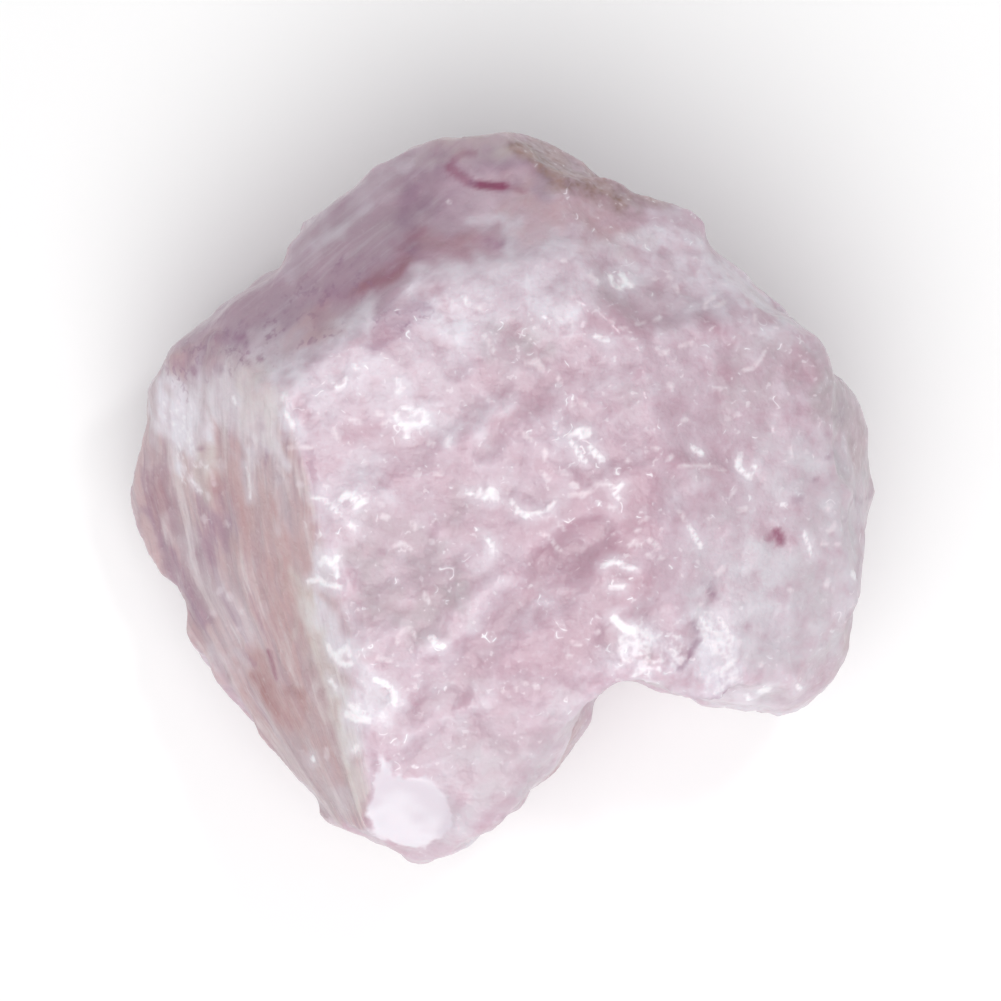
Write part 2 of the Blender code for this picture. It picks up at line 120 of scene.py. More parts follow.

# Tints painted on the stone, frost painted as glitter, and where glints sparkle: strokes with their
# strengths.
TINTS = {
    "rose": [
        ((-2.4, 5.9), (-0.6, 7.4), 0.9, 0.45), ((0.8, -1.6), (3.0, -1.0), 0.9, 0.45),
        ((-4.6, 0.2), (-2.6, -0.4), 1.0, 0.3), ((5.6, 9.6), (8.0, 9.6), 1.2, 0.55),
        ((3.8, 1.4), (6.6, 1.4), (5.4, 3.6), 1.6, 0.5), ((-7.6, 1.4), (-1.6, 0.4), 1.2, 0.2),
        ((5.8, -4.8), (7.6, -4.8), 1.4, 0.75), ((-2.6, -1.6), (2.8, -1.2), 1.0, 0.35),
        ((-6.4, 8.8), (-5.2, 8.2), 1.0, 0.35), ((11.0, 9.4), (12.4, 9.5), 0.7, 0.4),
        ((-6.4, -6.0), (-5.2, -6.2), 0.9, 0.4), ((-1.6, -8.8), (1.6, -5.2), 1.1, 0.55),
        ((2.6, -4.6), (5.2, -3.0), (7.8, 0.0), 2.2, 0.85), ((-0.4, 3.6), (1.9, 5.6), (3.4, 7.0), 0.8, 0.55),
        ((-8.9, 3.5), (-6.8, 3.6), 1.0, 0.65), ((-6.3, 3.0), (-2.1, 1.9), 1.3, 0.38),
        ((8.6, 2.2), (13.6, 2.6), 1.2, 0.5), ((12.1, 9.7), (12.5, 9.5), 0.6, 0.8),
        ((13.0, 7.3), (13.3, 7.1), 0.55, 0.7), ((15.4, -2.2), (15.7, -2.0), 0.8, 0.55),
        ((16.8, 7.7), (17.5, 7.5), 0.8, 0.55), ((-6.8, -13.2), (-4.2, -11.6), (-2.2, -10.9), 0.6, 0.5),
        ((0.4, -9.6), (4.6, -8.0), (7.0, -5.9), 1.6, 0.6), ((7.6, 10.9), (9.0, 12.4), 2.2, 0.5),
        ((-1.4, -13.0), (2.4, -13.4), 1.6, 0.3), ((-0.6, 14.6), (-2.2, 14.5), (-4.2, 14.9), 0.75, 0.7),
        ((-8.4, 11.6), (-6.6, 12.8), (-5.2, 13.8), (-2.6, 14.2), 0.8, 0.7),
        ((-6.4, 9.6), (-5.6, 9.2), 0.5, 0.5), ((-11.6, 9.4), (-9.0, 11.2), 0.9, 0.4),
        ((2.0, 17.6), (5.0, 16.4), 1.6, 0.35),
    ],
    "milk": [
        ((-12.8, 6.9), (-10.6, 8.4), (-8.8, 9.8), 0.8, 0.6),
        ((-2.8, 3.9), (-1.4, 4.5), (0.2, 5.6), 0.9, 0.65), ((1.2, 12.0), (3.8, 11.2), (6.0, 11.8), 1.1, 0.7),
        ((5.8, -7.9), (7.2, -9.2), 1.0, 0.7), ((-4.0, 11.0), (-3.0, 9.2), 1.2, 0.95),
        ((-9.0, 9.6), (-7.2, 9.6), 1.0, 0.85), ((1.4, 12.0), (3.6, 10.3), 1.2, 0.9),
        ((-6.6, 3.4), (-5.8, 3.6), 0.6, 0.35), ((-14.4, 5.4), (-13.2, 4.0), 1.7, 0.75),
        # From (-10.6, -6.0), (-9.4, -11.0) and (-8.6, -17.2): the left ridge's milk, partly painted
        # highlight.
        ((-12.0, 5.4), (-11.2, 4.6), 1.0, 0.8), ((-10.6, -6.0), (-9.6, -7.6), (-8.4, -7.8), 1.2, 0.95),
        ((-9.4, -11.0), (-8.4, -11.2), (-8.4, -14.0), 1.1, 0.85), ((15.0, -8.8), (18.4, -8.2), 1.2, 0.45),
        ((-16.6, -9.0), (-15.2, -9.8), 0.9, 0.5), ((-10.4, -15.4), (-9.4, -16.6), 0.8, 0.4),
        ((-7.8, 1.3), (-6.8, 0.9), 1.0, 0.75), ((10.4, 0.4), (11.6, -0.2), 1.2, 0.4),
        ((2.0, -6.6), (2.9, -7.0), 1.0, 0.4), ((-2.8, -11.4), (-1.6, -11.9), 1.2, 0.65),
        ((-2.9, 9.4), (-2.3, 9.9), 0.9, 0.4), ((3.6, 10.6), (4.4, 10.3), 0.8, 0.4),
        ((3.0, 16.2), (5.0, 12.2), 1.2, 0.4), ((9.4, 10.2), (12.8, 10.6), 1.1, 0.55),
        ((-8.6, -17.2), (-7.8, -15.6), 0.8, 0.5), ((1.8, 17.4), (3.0, 17.8), 1.1, 0.5),
        ((-1.2, 15.4), (0.8, 15.2), 1.0, 0.45), ((7.6, 14.2), (9.8, 14.0), (9.4, 12.2), 1.9, 1.0),
        ((11.4, 11.6), (12.8, 11.2), 1.2, 0.6), ((-9.0, -3.0), (-8.0, -3.7), 1.4, 0.9),
        ((-12.6, 7.2), (-10.6, 5.4), 1.0, 0.45), ((-8.4, 17.4), (-4.6, 19.9), 0.9, 0.3),
        ((11.2, -11.0), (14.0, -12.0), (17.0, -12.2), 1.4, 0.6),
        ((-9.4, 6.4), (-5.6, 7.8), (-1.8, 9.8), (2.4, 12.4), 2.4, 0.48),
        ((-5.2, 4.6), (-1.4, 6.4), 1.3, 0.45), ((-8.2, 0.6), (-8.9, -1.4), 1.5, 0.85),
        ((-10.0, -3.4), (-9.4, -4.6), 1.0, 0.75), ((-9.2, -8.4), (-8.6, -9.6), 0.9, 0.7),
        ((-7.6, -10.2), (-6.2, -12.0), 1.2, 0.9), ((7.4, -7.4), (9.2, -8.9), 1.7, 0.8),
        ((11.8, -7.2), (12.6, -8.8), (12.8, -10.4), 1.2, 0.95), ((11.2, -9.5), (12.4, -10.5), 1.2, 1.0),
        ((3.2, 3.4), (5.0, 3.4), 1.1, 0.55), ((5.4, 0.9), (7.2, 0.2), 0.8, 0.3),
        ((-1.8, 0.5), (2.8, -0.4), 0.8, 0.15), ((-3.6, -7.8), (0.4, -4.9), 0.8, 0.3),
        ((-18.9, 5.8), (-18.2, 3.2), 1.7, 1.0), ((-15.7, 6.4), (-15.1, 4.8), 1.1, 0.6),
        ((-18.4, -2.6), (-16.8, -6.2), (-15.0, -8.8), 0.9, 0.3),
        ((-16.2, -4.8), (-14.6, -7.6), (-13.3, -9.8), 0.7, 0.4),
        ((-16.6, 7.4), (-12.6, 8.2), (-8.2, 10.0), 1.3, 0.35),
        ((-3.6, 13.0), (0.6, 13.2), (4.4, 13.6), 1.2, 0.5), ((-2.2, -17.6), (-1.6, -16.4), 1.4, 0.4),
        ((13.0, -5.0), (12.8, -7.0), 1.3, 0.3),
        ((7.4, 14.4), (10.4, 14.2), (12.8, 12.6), (15.2, 10.9), (17.0, 9.4), 1.4, 0.75),
        ((8.6, 0.4), (11.2, -2.4), 1.2, 0.35), ((-12.6, 0.8), (-12.4, -2.4), 0.7, 0.45),
        ((-10.6, 16.6), (-12.6, 13.0), 1.1, 0.3),
    ],
    "cool": [
        ((14.4, -3.6), (15.6, -8.0), (18.0, -6.0), 3.6, 0.9), ((18.6, 1.2), (19.6, -4.0), 2.8, 0.8),
        ((20.4, 5.6), (21.4, 1.0), 1.4, 0.7), ((15.0, 1.6), (17.4, 3.4), 2.0, 0.6),
        ((-19.2, 6.4), (-16.0, 6.6), (-12.0, 7.2), 1.6, 0.65), ((-15.0, 9.2), (-10.2, 10.4), 1.3, 0.35),
        ((-3.4, -18.2), (-0.6, -17.2), (2.2, -14.6), (3.6, -12.6), 1.7, 0.8),
        ((-2.4, -15.2), (0.4, -13.6), 1.4, 0.45), ((11.0, -10.4), (13.0, -11.2), 1.2, 0.7),
        ((-4.2, 12.9), (-2.0, 12.6), (2.6, 14.4), 1.3, 0.4), ((-11.8, 15.2), (-8.6, 18.2), 1.2, 0.35),
        ((-0.6, 20.2), (1.2, 20.0), 1.3, 0.4), ((11.6, -7.0), (12.4, -10.6), 1.6, 0.7),
    ],
    "smoky": [
        ((18.0, 7.0), (19.4, 5.2), 1.3, 0.8),
        ((-7.7, -2.8), (-7.2, -5.4), (-5.4, -6.8), (-3.2, -5.6), 1.4, 0.75),
        ((-5.4, -2.0), (-4.2, -4.4), 1.4, 0.5), ((-2.8, 0.2), (-2.2, -1.6), 0.9, 0.5),
        ((0.2, 9.4), (1.8, 8.2), 1.3, 0.65), ((6.0, 11.4), (6.9, 10.6), 1.0, 0.35),
        ((8.35, -8.55), (8.45, -8.6), 0.4, 0.8), ((2.0, -17.2), (2.8, -15.4), 1.2, 0.2),
        ((-12.4, -15.6), (-9.2, -17.6), 1.4, 0.3), ((14.2, 6.6), (15.6, 8.8), 2.0, 0.42),
        ((-1.0, -13.6), (1.4, -14.2), 2.0, 0.25), ((0.2, 19.8), (2.2, 18.9), 1.0, 0.45),
        ((-1.4, -17.0), (1.0, -15.4), 1.6, 0.3), ((-11.8, -13.6), (-9.6, -17.6), 1.6, 0.4),
        ((9.8, 6.4), (12.0, 5.4), 1.8, 0.15), ((17.4, 8.2), (19.6, 6.0), (20.9, 4.2), 1.2, 0.65),
        ((16.4, -9.8), (18.6, -8.6), 2.0, 0.3),
    ],
    "lilac": [
        ((-8.6, 12.0), (-6.8, 13.4), (-4.8, 14.0), 1.0, 0.45), ((-6.2, 9.6), (-5.0, 9.2), 1.0, 0.3),
        ((-17.6, 7.4), (-15.4, 8.8), 0.9, 0.35), ((-18.0, 8.4), (-13.8, 10.0), (-10.4, 11.2), 0.9, 0.45),
        ((-10.4, 10.2), (-10.1, 11.1), (-9.2, 11.8), 0.5, 0.5),
        ((-7.6, 12.2), (-6.3, 12.9), (-5.5, 13.4), (-5.2, 14.0), (-4.6, 14.8), 0.55, 0.85),
        ((-5.3, 15.6), (-5.4, 16.6), (-4.7, 18.0), 0.7, 0.6), ((-0.7, 14.5), (0.1, 14.5), 0.3, 0.5),
        ((-3.6, 19.2), (-3.0, 16.4), 1.3, 0.4), ((-1.4, 20.0), (0.4, 19.0), (2.2, 18.4), 1.0, 0.4),
        ((-16.4, 9.5), (-15.9, 9.4), 0.45, 0.8), ((-15.4, 9.3), (-14.9, 9.1), 0.55, 0.85),
        ((-16.4, 7.8), (-16.2, 7.4), 0.45, 0.55), ((-4.6, 10.8), (-4.0, 10.6), 0.35, 0.6),
        ((-6.4, 9.2), (-4.2, 10.6), 0.7, 0.45), ((-7.2, 8.4), (-5.9, 9.0), 0.5, 0.6),
        ((-20.4, 1.6), (-19.9, -1.6), 0.9, 0.4), ((-17.4, -1.8), (-16.9, -3.6), 0.6, 0.55),
        ((-16.5, -1.1), (-16.0, -2.3), 0.5, 0.6), ((-16.0, 1.0), (-15.4, -1.6), 0.5, 0.35),
        ((-21.0, -0.6), (-19.2, -4.2), (-17.4, -7.2), 0.45, 0.6), ((1.6, 1.6), (5.6, 3.4), 1.8, 0.12),
    ],
    "tan": [
        ((-16.2, 2.2), (-15.4, 0.2), (-14.4, -3.0), 1.2, 0.65),
        ((-13.3, -0.4), (-12.6, -2.6), (-11.9, -5.6), 1.1, 0.85), ((-13.6, -3.4), (-12.4, -7.2), 0.9, 0.6),
        ((-12.4, -5.6), (-11.2, -8.2), 0.6, 0.8), ((-14.2, -9.4), (-12.0, -12.6), 1.4, 0.7),
        ((-11.6, -8.4), (-10.4, -12.0), (-9.6, -15.4), 1.0, 0.45), ((-11.8, 9.2), (-9.8, 10.6), 0.9, 0.35),
        ((1.6, 16.6), (6.6, 15.6), 1.6, 0.4),
    ],
    "rust": [
        ((-13.5, -11.0), (-13.2, -12.0), 0.55, 0.75), ((-13.8, -9.8), (-12.4, -12.4), 1.2, 0.22),
        ((-14.3, -10.4), (-13.9, -10.5), 0.4, 0.7), ((-12.0, -11.0), (-11.7, -11.1), 0.5, 0.7),
        ((-20.3, 1.0), (-20.2, -1.4), 0.8, 0.4), ((-7.8, 12.0), (-6.3, 12.8), (-5.4, 13.6), 0.6, 0.45),
        ((-4.6, 14.9), (-2.0, 14.6), 0.6, 0.25),
    ],
    "olive": [
        ((-11.4, -5.0), (-9.9, -10.2), (-8.8, -13.6), (-7.9, -17.4), 0.8, 0.6),
        ((-14.2, 6.8), (-13.4, 4.6), 1.2, 0.35), ((-17.4, 2.8), (-16.9, 0.4), 0.7, 0.5),
        ((-4.0, 20.4), (0.4, 20.6), 1.1, 0.4),
    ],
    "rind": [
        ((0.8, 20.5), (1.6, 19.7), (3.0, 18.9), (4.0, 18.3), (5.4, 17.7), (6.8, 17.3), 0.75, 0.95),
        ((2.4, 20.8), (4.8, 19.2), (8.4, 17.6), 1.2, 0.75),
    ],
    "specks": [
        ((-18.4, 7.8), (-14.6, 9.4), (-11.0, 10.6), (-8.4, 12.4), 1.9, 0.6),
        ((-6.4, 9.4), (-4.6, 10.6), 1.0, 0.7),
    ],
    "magenta": [
        ((-7.7, 11.9), (-6.4, 12.8), (-5.6, 13.5), 0.35, 0.22),
        ((-5.5, 14.1), (-5.2, 15.0), (-4.4, 15.4), 0.3, 0.16),
        ((-2.9, 18.95), (-2.3, 18.5), (-1.7, 18.05), 0.27, 0.5),
        ((-1.25, 17.95), (-0.5, 17.85), (0.2, 17.85), 0.26, 0.9), ((0.2, 17.85), (1.3, 17.6), 0.18, 0.35),
        ((-2.7, 19.4), (-2.2, 19.8), (-1.5, 19.8), 0.22, 0.3), ((15.2, -2.15), (15.3, -2.1), 0.24, 0.5),
        ((15.85, -2.3), (15.8, -2.05), (15.6, -1.8), 0.26, 0.72),
        ((-13.4, -8.7), (-13.2, -9.2), (-12.9, -10.2), 0.13, 0.7),
    ],
    "violet": [
        ((-1.75, 18.1), (-1.5, 18.0), 0.14, 0.7), ((16.5, 0.0), (17.0, 0.05), 0.14, 0.5),
        ((18.7, 2.5), (19.2, 2.7), 0.14, 0.45), ((17.85, 1.2), (17.95, 1.2), 0.13, 0.4),
        ((18.7, 3.8), (18.9, 3.8), 0.18, 0.25), ((11.9, -5.1), (12.2, -5.5), 0.15, 0.55),
        ((11.3, -4.65), (12.1, -4.7), 0.14, 0.3),
        ((11.2, -7.9), (10.8, -8.4), (10.7, -8.8), (10.3, -9.2), (10.1, -9.5), 0.18, 0.55),
        ((10.9, -6.9), (11.2, -7.5), 0.16, 0.5), ((14.0, -7.1), (14.1, -7.05), 0.1, 0.45),
        ((-13.65, 8.05), (-13.55, 8.0), 0.14, 0.8), ((-17.45, 3.0), (-17.3, 3.0), 0.14, 0.5),
        ((-17.8, 7.6), (-17.65, 7.3), 0.17, 0.6), ((-14.35, 7.85), (-14.25, 7.8), 0.15, 0.5),
        ((-15.0, -8.8), (-14.3, -9.6), 0.13, 0.4),
    ],
    # Where the glare painted on the chip is brightest.
    "chip glare": [
        ((-6.7, -18.5), (-5.4, -18.9), 1.5, 1.0),
    ],
    # Frosted white patches, painted brighter as glittering highlight: partly the stone's white, partly
    # painted light.
    "frost_and_glitter": [
        ((7.2, -7.9), (8.6, -8.4), (7.6, -9.4), 1.5, 1.0), ((9.2, -7.4), (9.4, -8.6), 0.8, 0.8),
        ((11.9, -7.0), (12.4, -8.4), (12.8, -10.2), 1.1, 0.95), ((11.4, -9.8), (13.2, -10.9), 0.9, 0.8),
        ((-7.6, -10.4), (-6.4, -10.3), (-6.0, -11.4), (-6.8, -12.2), (-8.2, -12.0), (-7.9, -11.0), 0.6, 0.75),
        ((-9.6, -8.2), (-8.6, -9.1), 0.8, 0.7), ((-10.4, -4.0), (-9.2, -3.6), 0.9, 0.7),
        ((-8.8, 0.3), (-7.5, -0.2), 1.1, 0.8), ((-5.6, 4.5), (-4.5, 4.5), 0.9, 0.6),
        ((-9.2, 6.7), (-8.2, 7.2), 0.9, 0.4), ((4.4, 3.4), (5.4, 2.9), 0.8, 0.5),
        ((-0.8, 0.4), (-0.4, 0.3), 0.7, 0.5), ((6.6, 12.6), (7.2, 12.4), 0.8, 0.7),
        ((-18.7, 5.6), (-18.2, 3.4), (-17.6, 1.0), 1.0, 0.8), ((13.5, 2.2), (13.9, 1.6), 0.6, 0.5),
    ],
    # Where the painted glints grow thicker and more.
    "sparkle": [
        ((6.8, -7.4), (9.2, -8.9), 2.0, 0.7), ((-9.2, -7.8), (-7.0, -12.2), 1.6, 0.5),
        ((-10.4, -2.6), (-9.2, -4.8), 1.3, 0.6), ((-8.8, 6.6), (-5.0, 4.6), 1.6, 0.5),
        ((3.8, 4.0), (6.6, 0.6), 1.5, 0.5), ((5.8, -4.0), (9.0, -4.6), 1.5, 0.5),
    ],
}

# Painted highlights, glints of light on tiny shells of the seen faces: strokes without a strength.
BRIGHT_GLINTS = [
    ((-9.4, 6.7), (-9.1, 6.2), (-8.8, 6.5), (-8.7, 6.9), 0.12), ((-5.8, 6.8), (-5.7, 6.5), 0.15),
    ((-5.85, 6.05), (-5.45, 6.3), 0.14),
    (
        (-5.9, 4.9), (-5.7, 4.4), (-5.3, 4.1), (-4.9, 4.25),
        (-4.6, 4.15), (-4.25, 4.4), (-4.2, 4.8), (-4.45, 5.1), 0.17,
    ),
    ((-5.5, 5.2), (-5.0, 5.2), (-4.9, 4.7), 0.15), ((-5.4, 3.6), (-5.2, 3.6), 0.18),
    ((-2.85, 3.6), (-2.9, 3.2), 0.14), ((-10.6, 0.2), (-9.8, 0.0), (-9.4, -0.4), (-9.0, -0.8), 0.13),
    ((-9.0, 0.1), (-8.6, 0.4), (-8.3, 0.1), 0.22), ((-8.2, -0.3), (-7.6, 0.0), 0.2),
    ((-8.5, -1.3), (-8.3, -1.5), 0.2), ((-10.2, -3.6), (-9.9, -3.2), (-9.5, -3.6), (-9.2, -3.2), 0.18),
    ((-10.9, -4.6), (-10.3, -4.45), (-9.9, -4.7), (-9.0, -4.9), 0.17), ((-9.3, -3.8), (-9.2, -4.3), 0.14),
    ((-3.9, -7.7), (-3.6, -8.1), (-3.2, -8.2), 0.2),
    ((-9.75, -8.2), (-9.5, -8.8), (-9.1, -8.6), (-8.8, -8.3), (-8.6, -8.7), 0.17),
    ((-9.3, -9.0), (-8.8, -9.3), (-8.5, -9.2), 0.18), ((-9.7, -10.2), (-9.4, -10.6), 0.15),
    ((-7.0, -10.15), (-6.4, -10.4), (-6.0, -10.9), (-6.0, -11.4), 0.19),
    ((-8.7, -12.1), (-8.2, -12.3), (-7.5, -12.4), 0.25), ((-8.4, -11.6), (-8.0, -12.0), 0.2),
    ((-8.2, -13.9), (-8.3, -14.2), 0.15),
    ((0.6, 0.0), (0.9, -0.5), (1.4, -0.8), (2.0, -0.7), (2.7, -0.5), (3.0, -0.1), 0.13),
    ((0.9, -0.6), (1.5, -0.9), 0.18), ((-1.9, 0.5), (-1.3, 0.2), (-1.15, 0.6), 0.14),
    ((-0.85, 0.1), (-0.6, 0.6), (-0.3, 0.5), (-0.25, 0.05), 0.19),
    ((-0.8, -2.1), (-0.5, -2.5), (-0.5, -3.1), 0.14), ((4.0, 3.3), (4.3, 2.8), (4.75, 2.2), 0.15),
    ((3.9, 3.6), (4.4, 3.95), (4.9, 4.1), (5.1, 3.7), 0.15), ((4.6, 3.6), (4.9, 3.7), 0.2),
    ((5.05, 3.0), (5.4, 2.6), (5.7, 2.3), 0.19), ((6.2, 0.8), (6.6, 0.7), (6.85, 0.95), 0.15),
    ((6.4, 0.35), (6.7, 0.1), 0.15), ((5.7, -3.7), (6.3, -3.4), (6.9, -3.65), (7.5, -3.8), 0.16),
    ((6.2, -4.9), (6.9, -4.85), 0.17), ((6.4, -6.65), (6.8, -7.05), (7.3, -7.3), 0.27),
    ((10.9, 2.95), (11.0, 2.85), 0.19), ((11.25, 2.75), (11.3, 2.65), 0.2),
    ((13.6, 2.6), (13.4, 1.95), (13.75, 1.6), (14.2, 1.3), 0.17), ((14.35, 1.95), (14.45, 1.85), 0.15),
    ((10.6, -1.4), (10.9, -1.9), (11.35, -2.6), 0.15), ((12.4, -6.7), (12.9, -7.4), 0.14),
    ((11.3, -6.5), (11.6, -7.0), (12.0, -7.4), 0.13), ((5.3, 9.25), (6.0, 9.0), 0.16),
    ((6.3, 12.8), (6.5, 12.25), (6.95, 12.1), (7.15, 12.5), (6.9, 13.0), 0.15),
    ((7.1, 12.6), (7.5, 12.2), 0.17), ((17.2, -1.8), (17.35, -2.3), (17.7, -3.1), 0.12),
    ((20.15, -4.2), (20.25, -4.3), 0.24), ((14.9, -10.95), (15.3, -10.8), 0.22),
    ((17.05, -10.65), (17.15, -10.75), 0.17), ((14.1, -11.1), (14.25, -11.4), 0.15),
    ((-2.1, 11.5), (-1.8, 11.0), 0.15), ((-15.2, 5.9), (-15.0, 5.6), 0.13),
    ((-12.25, 6.0), (-12.3, 5.7), 0.13), ((-12.1, 4.9), (-11.7, 4.2), 0.16),
    ((-10.85, -14.8), (-10.8, -14.95), 0.15), ((-14.5, 1.9), (-14.3, 0.9), (-14.35, 0.1), 0.07),
    ((-8.25, 7.6), (-8.05, 7.4), 0.15),
]
SOFT_GLINTS = [
    ((-12.0, 2.95), (-10.6, 3.0), 0.13), ((-8.4, 4.6), (-7.9, 4.4), 0.15), ((-6.9, 4.9), (-6.7, 4.85), 0.2),
    ((-6.65, 4.3), (-6.55, 4.3), 0.15), ((-9.4, 3.85), (-9.1, 3.5), 0.15), ((-4.0, 3.3), (-3.8, 3.15), 0.2),
    ((-4.8, 1.5), (-4.6, 1.45), 0.18), ((-3.7, 1.5), (-3.3, 1.5), 0.14), ((-11.4, 0.95), (-11.2, 0.9), 0.18),
    ((-6.8, -0.2), (-6.6, -0.3), 0.16), ((-6.6, -0.9), (-6.4, -1.0), 0.2),
    ((-5.8, -8.1), (-5.7, -7.6), (-5.4, -7.25), (-5.05, -7.2), (-4.85, -7.5), (-4.8, -7.8), 0.13),
    ((-4.3, -5.2), (-4.1, -5.7), 0.15), ((-6.9, -8.9), (-6.2, -9.1), 0.18),
    ((-6.0, -2.6), (-5.5, -2.4), (-5.0, -2.8), 0.13), ((-3.95, -2.3), (-3.85, -2.35), 0.16),
    ((-5.0, -1.3), (-4.8, -1.6), 0.17), ((0.3, 0.5), (0.4, 0.45), 0.15),
    ((2.3, -1.8), (2.8, -2.1), (3.1, -2.6), (3.4, -2.9), 0.13), ((3.3, -1.3), (3.6, -1.7), 0.13),
    ((2.5, 2.8), (2.5, 2.3), 0.16), ((2.3, 1.6), (2.7, 1.2), 0.15), ((3.1, 1.6), (3.9, 1.5), 0.14),
    ((1.3, 3.7), (1.7, 3.4), 0.16), ((3.9, 0.3), (4.6, 0.3), (5.2, 0.6), 0.16),
    ((4.0, 0.95), (4.3, 0.8), 0.18), ((6.0, -0.3), (6.4, -0.45), 0.15), ((7.1, 2.25), (7.25, 2.2), 0.16),
    ((8.6, 2.95), (8.75, 2.9), 0.16), ((9.3, 2.3), (9.6, 2.5), 0.14),
    ((10.2, 4.4), (10.4, 4.6), (10.6, 4.45), 0.13),
    ((10.0, 1.9), (11.0, 2.0), (12.0, 1.85), (12.6, 1.7), 0.13), ((13.1, 0.3), (13.3, 0.7), 0.14),
    ((13.5, -0.55), (13.9, -0.45), 0.17), ((12.8, 4.65), (13.0, 4.7), 0.15),
    ((13.3, 4.9), (13.5, 4.85), 0.13), ((5.2, 1.0), (6.2, 0.9), 0.13), ((10.1, -0.6), (10.4, -1.1), 0.15),
    ((7.2, -2.55), (7.55, -2.3), (7.85, -2.5), 0.15), ((8.4, -2.2), (8.9, -2.65), 0.17),
    ((8.3, -3.1), (8.5, -3.15), 0.15), ((8.95, -3.2), (9.2, -3.25), 0.14), ((8.0, -1.1), (8.3, -1.0), 0.13),
    ((7.6, -1.7), (7.8, -1.65), 0.13), ((12.3, -4.15), (12.65, -3.8), 0.18),
    ((5.45, -7.45), (5.55, -7.4), 0.17), ((4.0, -8.0), (4.5, -8.15), 0.14), ((3.8, -8.8), (3.9, -8.8), 0.16),
    ((11.25, -5.9), (11.35, -5.9), 0.15), ((10.15, -9.2), (10.45, -8.8), 0.15),
    ((-0.9, 9.3), (-0.3, 8.3), 0.13), ((-1.3, 10.9), (-1.0, 10.6), 0.13), ((3.8, 10.3), (4.1, 9.8), 0.15),
    ((2.0, 7.8), (2.3, 7.4), 0.22), ((3.25, 6.95), (3.4, 6.6), 0.14), ((5.1, 12.7), (5.5, 12.3), 0.17),
    ((6.2, 10.1), (6.35, 10.1), 0.13), ((4.05, 5.4), (4.15, 5.4), 0.15), ((4.6, 5.4), (4.7, 5.4), 0.14),
    ((3.5, 13.5), (3.6, 13.5), 0.15), ((8.75, 12.6), (8.85, 12.6), 0.14),
    ((9.55, 12.7), (9.65, 12.65), 0.15), ((9.9, 12.2), (10.0, 11.8), 0.13), ((6.7, 9.7), (7.1, 9.7), 0.12),
    ((7.7, 10.0), (8.2, 10.15), 0.1), ((8.7, 10.2), (9.0, 10.35), 0.12), ((9.1, 8.3), (9.4, 8.35), 0.18),
    ((10.2, 8.7), (10.8, 8.9), 0.15), ((11.55, 10.9), (11.7, 11.3), (12.1, 11.5), 0.13),
    ((12.2, 11.0), (12.7, 11.3), 0.15), ((14.5, 10.6), (14.5, 10.2), 0.14),
    ((14.2, 9.6), (14.3, 9.55), 0.14), ((13.8, 7.4), (14.3, 7.5), (14.8, 8.0), (15.0, 8.4), 0.13),
    ((9.45, 6.5), (9.6, 6.45), 0.17), ((12.2, 6.3), (12.5, 6.3), 0.13), ((16.4, 3.1), (16.5, 2.5), 0.13),
    ((18.5, -0.5), (18.75, -0.5), 0.14), ((20.6, -0.4), (21.1, -0.4), 0.16),
    ((18.6, -1.75), (18.8, -1.7), (19.1, -1.3), 0.15), ((18.3, -2.4), (18.5, -2.5), 0.14),
    ((19.1, -2.5), (19.3, -2.5), 0.13), ((20.4, -3.2), (20.6, -3.3), 0.15),
    ((18.65, -4.5), (18.55, -4.9), 0.13), ((16.45, -5.05), (16.6, -5.15), 0.15),
    ((14.8, -9.2), (14.85, -9.4), 0.13), ((13.5, -8.0), (13.6, -8.0), 0.13),
    ((16.75, -11.8), (16.7, -12.0), 0.13), ((0.15, -10.8), (0.3, -10.9), 0.14),
    ((0.85, -10.6), (0.9, -10.7), 0.13), ((1.3, -10.3), (1.5, -10.35), 0.14),
    ((1.95, -10.4), (2.1, -10.55), 0.14), ((-3.0, 17.0), (-2.9, 16.95), 0.14),
    ((-16.3, -5.2), (-16.4, -5.3), 0.22), ((-15.8, -5.5), (-15.75, -5.7), 0.2),
    ((-17.0, -6.55), (-16.8, -6.7), 0.18), ((-15.2, -7.5), (-15.3, -7.5), 0.14),
    ((-15.0, -6.4), (-15.05, -6.5), 0.13), ((-18.0, 1.4), (-18.1, 1.2), 0.15),
    ((-17.3, 2.3), (-17.45, 2.0), 0.13), ((-16.8, 1.7), (-16.6, 0.9), 0.13),
    ((-18.4, 2.0), (-18.45, 1.6), 0.13), ((-17.6, 0.9), (-17.5, 0.6), 0.13),
    ((-17.0, 0.4), (-16.9, 0.1), 0.13), ((-17.2, -0.9), (-17.1, -1.2), 0.15),
    ((-16.0, -1.3), (-15.9, -1.5), 0.13), ((-12.7, 1.9), (-12.3, 1.4), 0.15),
    ((-9.9, -14.2), (-9.9, -14.7), 0.14),
]

# Tints whose strokes stay where they were drawn, with crisp edges. The others' edges wander.
WHOLE_TINTS = ("magenta", "violet")

# Tints whose strokes don't run down the walls.
TOP_TINTS = ("magenta", "violet", "frost_and_glitter")

# The flat chip at the tip, painted pale with white glare, seen from above: its corners and how wide its edge
# is.
CHIP_CORNERS = [
    (-6.8, -14.5), (-7.0, -16.1), (-7.5, -17.4), (-7.4, -18.6), (-6.8, -19.4), (-6.1, -19.8),
    (-4.7, -19.9), (-3.5, -19.4), (-2.8, -18.5), (-2.7, -17.8), (-3.2, -16.7), (-4.0, -15.9),
    (-4.7, -15.6), (-5.3, -15.8), (-5.6, -15.5), (-6.1, -15.6), (-6.4, -15.1),
]
CHIP_EDGE = 0.35

# How soft a whole mark's edge is, and how far round a painted glint its depth is kept.
MARK_EDGE = 0.15
MARK_REACH = 1.0

# The strokes fade out between these shares of their radius. Their edges wander by the share WANDER of it, up
# to a radius of WANDER_MOST, in waves of WANDER_SIZE.
STROKE_FADE = (1.5, 0.1)
WANDER = 1.1
WANDER_MOST = 2.0
WANDER_SIZE = 1.7

